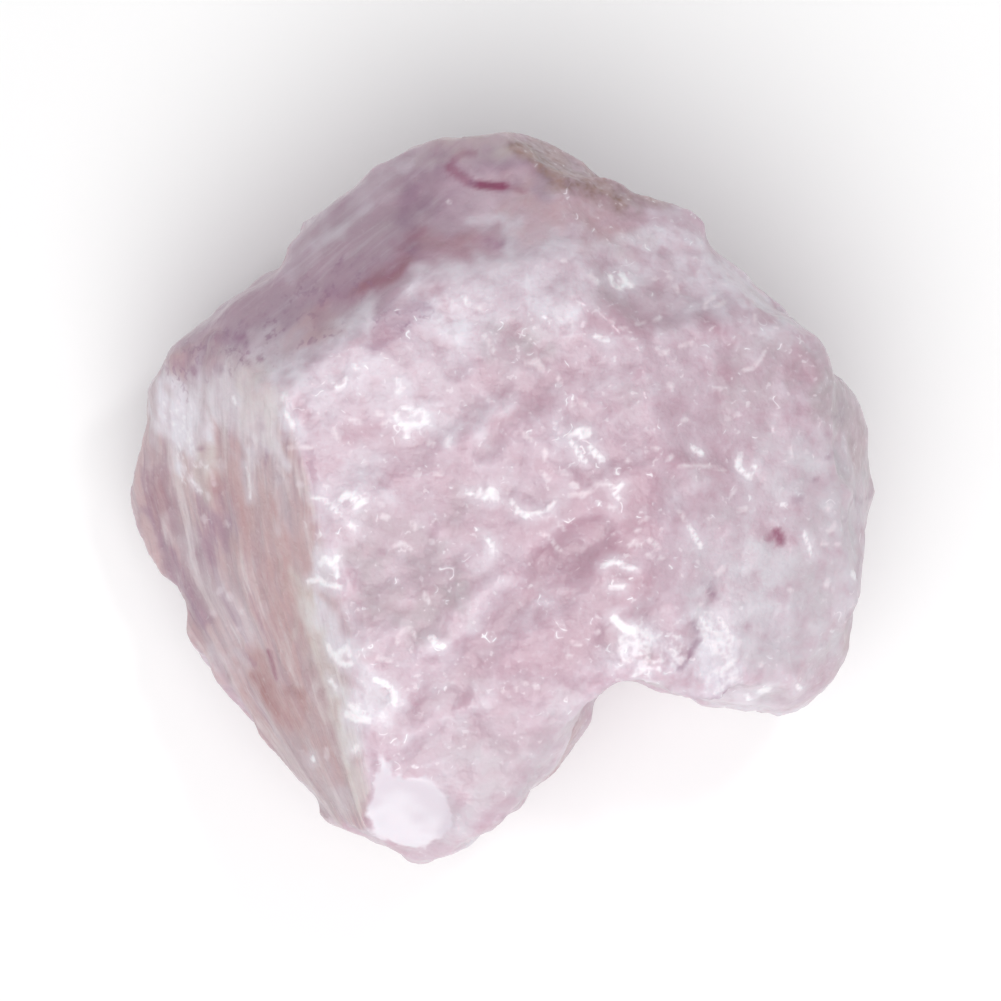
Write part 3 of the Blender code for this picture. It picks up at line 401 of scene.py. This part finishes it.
# Clouds of the tints: their size, which clouds, between which values they fade in, how strong they are
# everywhere, and how much stronger on the walls. The left face and the slope lose these shares of them.
TINT_CLOUDS = {
    "milk": (7.0, 1.0, (0.05, 0.8), 0.4, 0.4),
    "rose": (8.5, 5.0, (0.05, 0.8), 0.4, 0.5),
    "lilac": (6.0, 9.0, (0.3, 0.9), 0.1, 0.6),
    "tan": (9.0, 13.0, (0.2, 0.8), 0.0, 0.8),
    "smoky": (5.0, 29.0, (0.1, 0.8), 0.3, 0.4),
    "sparkle": (2.6, 17.0, (0.2, 0.8), 0.5, 0.0),
    "magenta": (2.2, 33.0, (0.8, 1.1), 0.0, 0.6),
}
LEFT_CLOUDLESS = 0.75
SLOPE_CLOUDLESS = 0.9

# Lilac veins on the walls, along the edges of clouds: the clouds' size, the veins' width and their strength.
VEIN_SIZE = 9.0
VEIN_WIDTH = 0.07
VEIN_STRENGTH = 0.5

# The strokes fade in as a normal turns up. The slope, the left face and the cool tint are less glassy.
TURNING_UP = (-0.1, 0.15)
DULL_SLOPE = 0.93
DULL_LEFT = 0.75
DULL_COOL = 0.55

# Colours, as linear red, green and blue.
PALE_PINK = (0.593, 0.46, 0.53)
ROSE = (0.46, 0.27, 0.34)
DUSKY_ROSE = (0.44, 0.30, 0.36)
MILK = (0.745, 0.70, 0.76)
SMOKY = (0.43, 0.36, 0.385)
LILAC = (0.30, 0.16, 0.25)
MAGENTA = (0.26, 0.035, 0.11)
VIOLET = (0.28, 0.12, 0.21)
TAN = (0.50, 0.30, 0.305)
RUST = (0.36, 0.17, 0.17)
OLIVE = (0.64, 0.58, 0.54)
RIND = (0.18, 0.09, 0.075)
RIND_LIGHT = (0.37, 0.235, 0.205)
# The back slope's own lilac, darkened as painted shade where the slope faces away from the light.
SHADED_SLOPE_LILAC = (0.43, 0.305, 0.37)
LEFT_DUSK = (0.45, 0.32, 0.355)
LEFT_WARM = (0.555, 0.395, 0.41)
IVORY = (0.73, 0.655, 0.66)
COOL_WHITE = (0.61, 0.565, 0.61)
# Painted highlights: the white of bright glints and glittering frost, and the pink-white of soft glints.
GLINT_WHITE = (0.90, 0.87, 0.90)
SOFT_GLINT_PINK = (0.82, 0.74, 0.78)
# The chip's pale paint and its white: painted glare of the light on this flat facet.
CHIP_LILAC = (0.72, 0.66, 0.72)
CHIP_GLARE_WHITE = (0.81, 0.77, 0.82)
FLOOR_WHITE = (0.96, 0.96, 0.955)

# Patterns in the material, each its scale to the millimetre, its detail and its roughness, how the streaks
# are stretched, and how wide the small painted glints are where the stone doesn't sparkle and where it does.
MOTTLE = (0.72, 2.4, 0.5)
GRAIN = (2.4, 1.5, 0.55)
STREAKS = (1.0, 3.0, 0.6)
STREAK_STRETCH = (11.0, 0.13, 1.0)
GLINT_FIELDS = (1.35, 0.5, 0.45)
GLINT_THIN = 0.02
GLINT_THICK = 0.05

# Relief in the material: mottle, grain, the left face's streaks, and a rise under the bright painted glints.
# MIDDLE_RISE is taken off it, so that the smooth chip lies level with the skin round it.
MOTTLE_RISE = 0.2
GRAIN_RISE = 0.06
STREAK_RISE = 0.16
GLINT_RISE = 0.03
MIDDLE_RISE = 0.13

# How the stone takes the light: waxy inside, with a thin gloss.
WAX = {
    "IOR": 1.51,
    "Subsurface Weight": 0.7,
    "Subsurface Radius": (1.0, 0.72, 0.78),
    "Subsurface Scale": 2.2 * MM,
    "Coat Weight": 0.3,
    "Coat Roughness": 0.15,
}

# The lamps, each its place, width, power and colour, then the sky and the floor.
LAMPS = {
    "key light": ((-0.01, -0.13, 0.32), 0.34, 0.82, (1.0, 0.99, 0.98)),
    "glint light": ((0.10, 0.10, 0.30), 0.03, 0.08, (1.0, 1.0, 1.0)),
}
SKY = (0.97, 0.98, 1.0, 1.0)
SKY_STRENGTH = 0.52
FLOOR_SIZE = 3.0
FLOOR_ROUGHNESS = 0.7

# The camera looks straight down on the stone's middle, and shows this width.
FRAME_WIDTH = 58 * MM
LENS = 200.0
SENSOR = 36.0
EYE_LEVEL = 15 * MM


def pick(piece):
    """Makes one piece the only selected and the active one."""
    bpy.ops.object.select_all(action="DESELECT")
    piece.select_set(True)
    bpy.context.view_layer.objects.active = piece


def apply_modifier(piece, kind, **settings):
    """Adds a modifier with these settings and applies it."""
    pick(piece)
    bpy.ops.object.modifier_add(type=kind)
    modifier = piece.modifiers[-1]
    for name, value in settings.items():
        setattr(modifier, name, value)
    bpy.ops.object.modifier_apply(modifier=modifier.name)


def smooth_step(low, high, values):
    """0 below low and 1 above high (or the other way round), with a soft change between."""
    share = np.clip((values - low) / (high - low), 0.0, 1.0)
    return share * share * (3.0 - 2.0 * share)


def copy_of_node(node):
    """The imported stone's mesh as a new piece, its loose triangles merged at their edges."""
    piece = bpy.data.objects.new("petalite_stone", node.data.copy())
    bpy.context.scene.collection.objects.link(piece)
    pick(piece)
    bpy.ops.object.mode_set(mode="EDIT")
    bpy.ops.mesh.select_all(action="SELECT")
    bpy.ops.mesh.remove_doubles(threshold=MERGE_DISTANCE)
    bpy.ops.object.mode_set(mode="OBJECT")
    return piece


def points_and_normals(piece):
    """The vertices in millimetres and their normals."""
    count = len(piece.data.vertices)
    points = np.empty(count * 3)
    normals = np.empty(count * 3)
    piece.data.vertices.foreach_get("co", points)
    piece.data.vertices.foreach_get("normal", normals)
    return points.reshape(-1, 3) / MM, normals.reshape(-1, 3)


def group_weights(piece, name, weights):
    """Makes a vertex group with these weights, for a modifier to work through."""
    group = piece.vertex_groups.new(name=name)
    for index in np.flatnonzero(weights > FAINT):
        group.add([int(index)], float(weights[index]), "REPLACE")


def raise_by(piece, where, kind, settings, size, height):
    """Moves the skin along its normals by a texture as large as a guide, through a vertex group."""
    texture = bpy.data.textures.new("relief", kind)
    texture.noise_scale = 1.0
    for name, value in settings.items():
        setattr(texture, name, value)
    guide = bpy.data.objects.new("guide", None)
    bpy.context.scene.collection.objects.link(guide)
    guide.scale = (size * MM,) * 3
    bpy.context.view_layer.update()
    placed_by = {"texture_coords": "OBJECT", "texture_coords_object": guide}
    strength = height * MM
    apply_modifier(piece, "DISPLACE", texture=texture, vertex_group=where, strength=strength, **placed_by)
    bpy.data.objects.remove(guide)


def face_shares(points, normals):
    """How far each vertex belongs to the left face, the back slope, the walls and the top."""
    foot = smooth_step(*FOOT_RISE, points[:, 2])
    beyond_ridge = smooth_step(*RIDGE_LINE, points[:, 0] + RIDGE_LEAN * points[:, 1])
    left = smooth_step(*FACE_SPREAD, normals @ np.array(LEFT_FACE)) * beyond_ridge
    slope = smooth_step(*SLOPE_SPREAD, normals @ np.array(BACK_SLOPE))
    wall = smooth_step(*WALL_LIFT, normals[:, 2]) * (1.0 - left)
    top = np.clip(1.0 - wall - left, 0.0, 1.0)
    return {"foot": foot, "left": left, "slope": slope, "wall": wall, "top": top}


def near_rim(points):
    """1 at the outline seen from above, and 0 further in than the rim reaches."""
    reach = np.hypot(points[:, 0], points[:, 1])
    turn = np.arctan2(points[:, 1], points[:, 0]) / (2.0 * np.pi)
    part = (turn * RIM_PARTS).astype(int) % RIM_PARTS
    furthest = np.zeros(RIM_PARTS)
    np.maximum.at(furthest, part, reach)
    return smooth_step(*RIM_FADE, furthest[part] - reach)


def streak_places(points, shares):
    """Places along the streaks: fanned from ridge to rim on the left face, side by side on the slope."""
    ridge = np.interp(points[:, 1], *zip(*sorted((y, x) for x, y in LEFT_RIDGE)))
    rim = np.interp(points[:, 1], *zip(*sorted((y, x) for x, y in LEFT_RIM)))
    on_left = np.stack([(points[:, 0] - ridge) / (rim - ridge), points[:, 1]], axis=1)
    along = np.array(SLOPE_STREAK_WAY)
    beside = np.array([-along[1], along[0]])
    on_slope = np.stack([points[:, :2] @ beside / SLOPE_STREAK_WIDTH, points[:, :2] @ along], axis=1)
    on_slope += SLOPE_STREAK_START
    sloping = shares["slope"] / (shares["slope"] + shares["left"] + 1e-6)
    return on_left + (on_slope - on_left) * sloping[:, None]


def streaky_noise(fan):
    """Noise drawn out along the streaks of the left face."""
    return np.array([
        noise.fractal(Vector((across * STREAKS_ACROSS, down / STREAK_LENGTH, 2.0)), 0.9, 2.2, 3)
        for across, down in fan
    ])


def cloudy_noise(points, size, offset, octaves=3):
    """Soft clouds of this size, about -1 to 1. Each offset gives other clouds."""
    shift = Vector((offset, -offset, 2.0 * offset))
    return np.array([noise.fractal(Vector(point) / size + shift, 0.9, 2.1, octaves) for point in points])


def ledges(points):
    """Flat treads with short risers between them, along the edges of soft clouds."""
    rise = cloudy_noise(points, LEDGE_SIZE, 21.0) * LEDGE_STEPS
    tread = np.floor(rise)
    return (tread + smooth_step(*RISER, rise - tread)) / LEDGE_STEPS


def scoops(points, size):
    """Leaning scoops of this size, with sharp ridges where they meet."""
    depths = np.empty(len(points))
    middle = Vector((0.5, 0.5, 0.5))
    for index, point in enumerate(points):
        place = Vector(point) / size
        nearest = np.inf
        for seed in noise.voronoi(place)[1]:
            offset = place - seed
            lean = noise.cell_vector(seed * 9.0) - middle
            nearest = min(nearest, offset.length_squared + SCOOP_LEAN * offset.dot(lean))
        depths[index] = nearest
    return (depths - SCOOP_MIDDLE) * size


def far_from_stroke(places, stroke):
    """The distance of each place from a stroke's line, seen from above."""
    nearest = np.full(len(places), np.inf)
    for start, end in zip(stroke[:-1], stroke[1:]):
        start = np.array(start)
        run = np.array(end) - start
        share = np.clip((places - start) @ run / (run @ run), 0.0, 1.0)
        nearest = np.minimum(nearest, np.linalg.norm(places - start - share[:, None] * run, axis=1))
    return nearest


def inside_chip(places):
    """How far each place lies inside the edge of the tip's chip: below 0 outside it."""
    turns = np.zeros(len(places))
    edge = CHIP_CORNERS + CHIP_CORNERS[:1]
    for start, end in zip(edge[:-1], edge[1:]):
        first = np.array(start) - places
        second = np.array(end) - places
        cross = first[:, 0] * second[:, 1] - first[:, 1] * second[:, 0]
        turns += np.arctan2(cross, (first * second).sum(axis=1))
    return far_from_stroke(places, edge) * np.where(np.abs(turns) > np.pi, 1.0, -1.0)


def flatten(points, share):
    """Lays the points of a face onto one plane, as far as their share says."""
    chosen = points[share > 0.5]
    sides = np.column_stack([chosen[:, :2], np.ones(len(chosen))])
    plane = np.linalg.lstsq(sides, chosen[:, 2], rcond=None)[0]
    level = points[:, :2] @ plane[:2] + plane[2]
    points[:, 2] += (level - points[:, 2]) * share


def break_surface(piece, shares, fan, shift):
    """The fine relief of the broken faces, within a few tenths of a millimetre."""
    points, normals = points_and_normals(piece)
    foot = shares["foot"]
    chip = smooth_step(-CHIP_EDGE, CHIP_EDGE, inside_chip(points[:, :2])) * (normals[:, 2] > SEEN_RISE)
    calm = 1.0 - (1.0 - RIM_RELIEF) * near_rim(points)
    lift = STREAK_HEIGHT * streaky_noise(fan) * shares["left"]
    on_walls = shares["wall"] * calm
    on_flats = shares["top"] * (1.0 - shares["slope"])
    lift += ledges(points) * (WALL_LEDGE * on_walls + TOP_LEDGE * on_flats)
    patches = smooth_step(*PATCH_FADE, cloudy_noise(points, PATCH_SIZE, 37.0))
    patches = PATCH_LEAST + (1.0 - PATCH_LEAST) * patches
    for size, on_wall, on_top in SCOOPS:
        share = (on_wall * on_walls + on_top * on_flats) * foot * patches
        broken = np.flatnonzero(share > FAINT)
        lift[broken] += share[broken] * scoops(points[broken], size)
    for *stroke, radius, height in FOLDS:
        far = far_from_stroke(points[:, :2] + shift * FOLD_WANDER, stroke)
        lift += height * smooth_step(radius * FOLD_WIDTH, 0.0, far) * shares["top"]
    rough = foot * (1.0 - CHIP_CALM * chip)
    group_weights(piece, "everywhere", rough)
    group_weights(piece, "top", shares["top"] * rough * (1.0 - SLOPE_CALM * shares["slope"]))
    for relief in FINE_RELIEF:
        raise_by(piece, *relief)
    piece.vertex_groups.clear()
    points, _ = points_and_normals(piece)
    points += normals * (lift * foot)[:, None]
    flatten(points, chip)
    points[:, 2] = np.maximum(points[:, 2], 0.0)
    piece.data.vertices.foreach_set("co", (points * MM).ravel())
    piece.data.update()
    apply_modifier(piece, "SMOOTH", factor=LAST_SMOOTHING, iterations=1)


def painted(points, shift, strokes):
    """The strength of one tint's strokes at each vertex, their edges made to wander."""
    strength = np.zeros(len(points))
    for *stroke, radius, most in strokes:
        places = points[:, :2] + shift * min(radius, WANDER_MOST) * WANDER
        outer, inner = radius * np.array(STROKE_FADE)
        strength = np.maximum(strength, most * smooth_step(outer, inner, far_from_stroke(places, stroke)))
    return strength


def marked(points, strokes):
    """The strength of whole marks at each vertex, their edges crisp and where they were drawn."""
    strength = np.zeros(len(points))
    for *stroke, radius, most in strokes:
        far = far_from_stroke(points[:, :2], stroke)
        strength = np.maximum(strength, most * smooth_step(radius + MARK_EDGE, radius - MARK_EDGE, far))
    return strength


def inside_glints(points, strokes, seen):
    """How far each vertex lies inside the nearest painted glint: below 0 outside, or if not seen."""
    depth = np.full(len(points), -MARK_REACH)
    for *stroke, radius in strokes:
        depth = np.maximum(depth, radius - far_from_stroke(points[:, :2], stroke))
    return np.where(seen, depth, -MARK_REACH)


def keep(piece, name, values):
    """Stores a number or a pair for each vertex, for the material to read."""
    if values.ndim == 1:
        piece.data.attributes.new(name, "FLOAT", "POINT").data.foreach_set("value", values)
    else:
        piece.data.attributes.new(name, "FLOAT2", "POINT").data.foreach_set("vector", values.ravel())


def paint_tints(piece, points, normals, shares, fan, shift):
    """Stores how strong each tint is at each vertex: the strokes on the seen faces, and clouds everywhere."""
    facing_up = smooth_step(*TURNING_UP, normals[:, 2])
    walls = shares["wall"]
    clouds = {}
    for tint, (size, offset, fade, most, more) in TINT_CLOUDS.items():
        clouds[tint] = smooth_step(*fade, cloudy_noise(points, size, offset)) * (most + more * walls)
    veins = smooth_step(VEIN_WIDTH, 0.0, np.abs(cloudy_noise(points, VEIN_SIZE, 25.0)))
    clouds["lilac"] = np.maximum(clouds["lilac"], veins * VEIN_STRENGTH * walls)
    cloudless = np.maximum(LEFT_CLOUDLESS * shares["left"], SLOPE_CLOUDLESS * shares["slope"])
    for tint, strokes in TINTS.items():
        if tint in WHOLE_TINTS:
            strength = marked(points, strokes) * facing_up
        else:
            strength = painted(points, shift, strokes) * facing_up
        if tint in TOP_TINTS:
            strength *= 1.0 - walls
        if tint in clouds:
            strength = np.maximum(strength, clouds[tint] * (1.0 - cloudless))
        keep(piece, tint, strength)
    # Where the slope's lilac and painted shade go, less on its pale part.
    keep(piece, "slope", shares["slope"] * (1.0 - painted(points, shift, PALE_SLOPE)))
    cool = painted(points, shift, TINTS["cool"]) * facing_up
    glassy = (1.0 - DULL_SLOPE * shares["slope"]) * (1.0 - DULL_LEFT * shares["left"])
    keep(piece, "glassy", glassy * (1.0 - DULL_COOL * cool))
    seen = (normals[:, 2] > SEEN_RISE) & (walls < 0.5)
    # Where the painted highlights lie: bright and soft glints.
    keep(piece, "bright lips", inside_glints(points, BRIGHT_GLINTS, seen))
    keep(piece, "soft lips", inside_glints(points, SOFT_GLINTS, seen))
    keep(piece, "chip", np.where(normals[:, 2] > SEEN_RISE, inside_chip(points[:, :2]), -MARK_REACH))
    keep(piece, "left", shares["left"])
    keep(piece, "fan", fan)


class Nodes:
    """A short way to write one material's nodes."""

    def __init__(self, name):
        self.material = bpy.data.materials.new(name)
        self.material.use_nodes = True
        self.tree = self.material.node_tree
        self.shader = self.tree.nodes["Principled BSDF"]

    def add(self, kind, settings=None, **inputs):
        node = self.tree.nodes.new("ShaderNode" + kind)
        for name, value in (settings or {}).items():
            setattr(node, name, value)
        for name, value in inputs.items():
            self.put(node, name.replace("_", " "), value)
        return node

    def put(self, node, which, value):
        """Links a socket to one of a node's inputs, given by name or number, or sets the input."""
        if isinstance(value, bpy.types.NodeSocket):
            self.tree.links.new(value, node.inputs[which])
        else:
            node.inputs[which].default_value = value

    def math(self, operation, first, second=0.0, third=0.0):
        node = self.add("Math", {"operation": operation})
        for index, value in enumerate((first, second, third)):
            self.put(node, index, value)
        return node.outputs[0]

    def times(self, *values):
        product = values[0]
        for value in values[1:]:
            product = self.math("MULTIPLY", product, value)
        return product

    def stretch(self, place, factors):
        node = self.add("VectorMath", {"operation": "MULTIPLY"})
        self.put(node, 0, place)
        self.put(node, 1, factors)
        return node.outputs["Vector"]

    def ramp(self, value, low, high, to_low=0.0, to_high=1.0):
        """Goes softly from one number to another while the value goes from low to high."""
        ends = {"From_Min": low, "From_Max": high, "To_Min": to_low, "To_Max": to_high}
        node = self.add("MapRange", {"interpolation_type": "SMOOTHSTEP"}, Value=value, **ends)
        return node.outputs["Result"]

    def mix(self, share, first, second):
        """A colour between two colours."""
        node = self.add("Mix", {"data_type": "RGBA"})
        self.put(node, 0, share)
        for index, value in ((6, first), (7, second)):
            self.put(node, index, value if isinstance(value, bpy.types.NodeSocket) else (*value, 1.0))
        return node.outputs[2]

    def blend(self, share, first, second):
        """A number between two numbers."""
        node = self.add("Mix")
        for index, value in ((0, share), (2, first), (3, second)):
            self.put(node, index, value)
        return node.outputs[0]

    def noise(self, place, scale, detail, roughness):
        return self.add("TexNoise", Vector=place, Scale=scale, Detail=detail, Roughness=roughness)

    def painted(self, name):
        return self.add("Attribute", {"attribute_name": name}).outputs["Fac"]


def glints(nodes, place, sparkle):
    """Painted highlights: gives white hooks and ticks, glints on tiny shells, and a painted glow round them.
    """
    parts = nodes.add("SeparateXYZ", Vector=nodes.noise(place, *GLINT_FIELDS).outputs["Color"])
    off_line = nodes.math("ABSOLUTE", nodes.math("SUBTRACT", parts.outputs["X"], 0.5))
    width = nodes.math("MULTIPLY_ADD", sparkle, GLINT_THICK - GLINT_THIN, GLINT_THIN)
    share = nodes.math("DIVIDE", off_line, width)
    start = nodes.math("MULTIPLY_ADD", sparkle, -0.19, 0.68)
    lit = nodes.ramp(nodes.math("SUBTRACT", parts.outputs["Y"], start), 0.0, 0.09)
    glint_halo = nodes.math("MULTIPLY", nodes.ramp(share, 4.5, 1.0), lit)
    return nodes.math("MULTIPLY", nodes.ramp(share, 1.25, 0.3), lit), glint_halo


def streak_colours(nodes, streaks, colour):
    """The left face's long streaks, dusk and warm pink, ivory and mauve, and the slope's faint ones."""
    parts = nodes.add("SeparateXYZ", Vector=streaks.outputs["Color"])
    face = nodes.mix(nodes.ramp(parts.outputs["X"], 0.38, 0.6), LEFT_DUSK, LEFT_WARM)
    face = nodes.mix(nodes.ramp(parts.outputs["Y"], 0.52, 0.7, 0.0, 0.55), face, IVORY)
    face = nodes.mix(nodes.ramp(parts.outputs["Z"], 0.54, 0.72, 0.0, 0.45), face, LILAC)
    slope = nodes.painted("slope")
    colour = nodes.mix(nodes.times(slope, nodes.ramp(parts.outputs["X"], 0.5, 0.7, 0.0, 0.22)), colour, LILAC)
    colour = nodes.mix(nodes.times(slope, nodes.ramp(parts.outputs["Y"], 0.5, 0.75, 0.0, 0.2)), colour, MILK)
    return nodes.mix(nodes.painted("left"), colour, face)


def petalite_finish():
    """Pale pink, milky and rosy petalite: waxy, cloudy, and full of small glints painted in as highlights."""
    nodes = Nodes("rough petalite")
    place = nodes.stretch(nodes.add("TexCoord").outputs["Object"], (1.0 / MM,) * 3)
    mottle = nodes.noise(place, *MOTTLE).outputs["Fac"]
    grain = nodes.noise(place, *GRAIN).outputs["Fac"]
    fan = nodes.add("Attribute", {"attribute_name": "fan"}).outputs["Vector"]
    streaks = nodes.noise(nodes.stretch(fan, STREAK_STRETCH), *STREAKS)
    streaks.noise_dimensions = "2D"
    streak = streaks.outputs["Fac"]
    left = nodes.painted("left")
    glassy = nodes.painted("glassy")

    ragged = nodes.ramp(mottle, 0.34, 0.64, 0.65, 1.1)
    streaky = nodes.ramp(streak, 0.34, 0.62, 0.7, 1.05)
    breakup = nodes.blend(left, ragged, streaky)
    # The back slope takes its lilac, darkened as painted shade.
    colour = nodes.mix(nodes.painted("slope"), PALE_PINK, SHADED_SLOPE_LILAC)
    colour = streak_colours(nodes, streaks, colour)
    for tint, shade in (
        ("cool", COOL_WHITE), ("milk", MILK), ("smoky", SMOKY), ("rose", ROSE),
        ("lilac", LILAC), ("tan", TAN), ("rust", RUST), ("olive", OLIVE),
    ):
        colour = nodes.mix(nodes.times(nodes.painted(tint), breakup), colour, shade)
    for field, low, high, most, shade in (
        (mottle, 0.5, 0.72, 0.28, MILK),
        (mottle, 0.5, 0.28, 0.40, ROSE),
        (grain, 0.52, 0.72, 0.14, MILK),
        (grain, 0.48, 0.28, 0.18, DUSKY_ROSE),
    ):
        colour = nodes.mix(nodes.times(glassy, nodes.ramp(field, low, high, 0.0, most)), colour, shade)
    specks = nodes.times(nodes.painted("specks"), nodes.ramp(grain, 0.5, 0.66), nodes.ramp(mottle, 0.4, 0.6))
    colour = nodes.mix(specks, colour, LILAC)
    rind = nodes.mix(nodes.ramp(mottle, 0.36, 0.66), RIND, RIND_LIGHT)
    worn = nodes.times(nodes.ramp(grain, 0.3, 0.6, 1.0, 0.7), nodes.ramp(mottle, 0.35, 0.55, 0.6, 1.0))
    colour = nodes.mix(nodes.times(nodes.painted("rind"), worn), colour, rind)
    colour = nodes.mix(nodes.painted("magenta"), colour, MAGENTA)
    colour = nodes.mix(nodes.painted("violet"), colour, VIOLET)

    # Painted highlights: glints, glittering frost, soft glints and pale dots, with a painted glow round
    # glints.
    fine_glint, glint_halo = glints(nodes, place, nodes.painted("sparkle"))
    shown = nodes.times(nodes.ramp(mottle, 0.36, 0.58, 0.45, 1.0), glassy)
    # Frost painted white as glittering highlight, broken up by the grain.
    frost_and_glitter = nodes.math("MULTIPLY_ADD", grain, 1.5, nodes.painted("frost_and_glitter"))
    frost_and_glitter = nodes.ramp(frost_and_glitter, 1.4, 2.0, 0.0, 0.65)
    roughened = nodes.math("MULTIPLY_ADD", grain, 0.16, -0.08)
    bright = nodes.painted("bright lips")
    bright_glint = nodes.ramp(nodes.math("ADD", bright, roughened), -0.1, 0.14, 0.0, 0.88)
    soft_glint = nodes.ramp(nodes.math("ADD", nodes.painted("soft lips"), roughened), -0.11, 0.14, 0.0, 0.6)
    soft_glint = nodes.times(soft_glint, nodes.ramp(left, 0.2, 0.8, 1.0, 0.65))
    glint_dots = nodes.times(nodes.ramp(grain, 0.64, 0.71, 0.0, 0.4), nodes.ramp(mottle, 0.42, 0.56), glassy)
    glint_glow = nodes.math("MAXIMUM", nodes.times(glint_halo, shown, 0.3), nodes.ramp(bright, -0.6, 0.0, 0.0, 0.35))
    colour = nodes.mix(glint_glow, colour, MILK)
    colour = nodes.mix(frost_and_glitter, colour, GLINT_WHITE)
    colour = nodes.mix(nodes.math("MAXIMUM", soft_glint, glint_dots), colour, SOFT_GLINT_PINK)
    colour = nodes.mix(nodes.math("MAXIMUM", bright_glint, nodes.times(fine_glint, shown, 0.75)), colour, GLINT_WHITE)
    ragged_edge = nodes.math("MULTIPLY_ADD", mottle, 1.4, -0.75)
    chip = nodes.math("ADD", nodes.math("ADD", nodes.painted("chip"), ragged_edge), roughened)
    chip = nodes.ramp(chip, -0.25, 0.1)
    # The chip painted pale, whitest at its lower left: painted glare.
    chip_colour = nodes.mix(nodes.painted("chip glare"), CHIP_LILAC, CHIP_GLARE_WHITE)
    colour = nodes.mix(nodes.times(chip, 0.95), colour, chip_colour)

    height = nodes.math("MULTIPLY_ADD", grain, GRAIN_RISE, -MIDDLE_RISE)
    height = nodes.math("MULTIPLY_ADD", mottle, MOTTLE_RISE, height)
    height = nodes.math("MULTIPLY_ADD", nodes.times(streak, left), STREAK_RISE, height)
    height = nodes.math("MULTIPLY_ADD", bright_glint, GLINT_RISE, height)
    height = nodes.times(height, nodes.ramp(chip, 0.0, 1.0, 1.0, 0.15))
    bump = nodes.add("Bump", Height=height, Strength=1.0, Distance=MM)

    nodes.put(nodes.shader, "Base Color", colour)
    nodes.put(nodes.shader, "Normal", bump.outputs["Normal"])
    nodes.put(nodes.shader, "Roughness", nodes.ramp(mottle, 0.3, 0.65, 0.28, 0.5))
    for name, value in WAX.items():
        nodes.put(nodes.shader, name, value)
    return nodes.material


def make_stone(node):
    stone = copy_of_node(node)
    apply_modifier(stone, "REMESH", mode="VOXEL", voxel_size=SKIN_VOXEL)
    apply_modifier(stone, "SMOOTH", factor=SMOOTH_FACTOR, iterations=SMOOTH_ROUNDS)
    points, normals = points_and_normals(stone)
    shares = face_shares(points, normals)
    fan = streak_places(points, shares)
    shift = np.stack([cloudy_noise(points, WANDER_SIZE, offset, 2) for offset in (3.0, 8.0)], axis=1)
    break_surface(stone, shares, fan, shift)
    paint_tints(stone, points, normals, shares, fan, shift)
    pick(stone)
    bpy.ops.object.shade_smooth()
    stone.data.materials.clear()
    stone.data.materials.append(petalite_finish())
    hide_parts("petalite_block")
    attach(stone, "root")


def make_floor():
    bpy.ops.mesh.primitive_plane_add(size=FLOOR_SIZE, location=(0.0, 0.0, 0.0))
    floor = bpy.context.object
    floor.name = "floor"
    nodes = Nodes("white board")
    nodes.put(nodes.shader, "Base Color", (*FLOOR_WHITE, 1.0))
    nodes.put(nodes.shader, "Roughness", FLOOR_ROUGHNESS)
    floor.data.materials.append(nodes.material)


def light_studio():
    for name, (place, width, power, colour) in LAMPS.items():
        lamp = bpy.data.lights.new(name, "AREA")
        lamp.shape = "DISK"
        lamp.size = width
        lamp.energy = power
        lamp.color = colour
        light = bpy.data.objects.new(name, lamp)
        light.location = place
        towards_stone = Vector((0.0, 0.0, EYE_LEVEL)) - light.location
        light.rotation_euler = towards_stone.to_track_quat("-Z", "Y").to_euler()
        bpy.context.scene.collection.objects.link(light)
    world = bpy.data.worlds.new("studio")
    world.use_nodes = True
    background = world.node_tree.nodes["Background"]
    background.inputs["Color"].default_value = SKY
    background.inputs["Strength"].default_value = SKY_STRENGTH
    bpy.context.scene.world = world
    bpy.context.scene.view_settings.view_transform = "Standard"


def place_camera():
    lens = bpy.data.cameras.new("camera")
    lens.lens = LENS
    lens.sensor_width = SENSOR
    camera = bpy.data.objects.new("camera", lens)
    camera.location = (0.0, 0.0, EYE_LEVEL + FRAME_WIDTH * LENS / SENSOR)
    bpy.context.scene.collection.objects.link(camera)
    bpy.context.scene.camera = camera


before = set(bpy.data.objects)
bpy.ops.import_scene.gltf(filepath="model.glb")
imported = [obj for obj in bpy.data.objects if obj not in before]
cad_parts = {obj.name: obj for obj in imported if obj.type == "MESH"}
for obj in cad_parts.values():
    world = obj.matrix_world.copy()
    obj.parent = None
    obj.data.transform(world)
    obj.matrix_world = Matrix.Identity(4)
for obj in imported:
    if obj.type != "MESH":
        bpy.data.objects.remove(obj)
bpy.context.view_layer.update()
make_stone(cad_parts["petalite_block"])
make_floor()
light_studio()
place_camera()
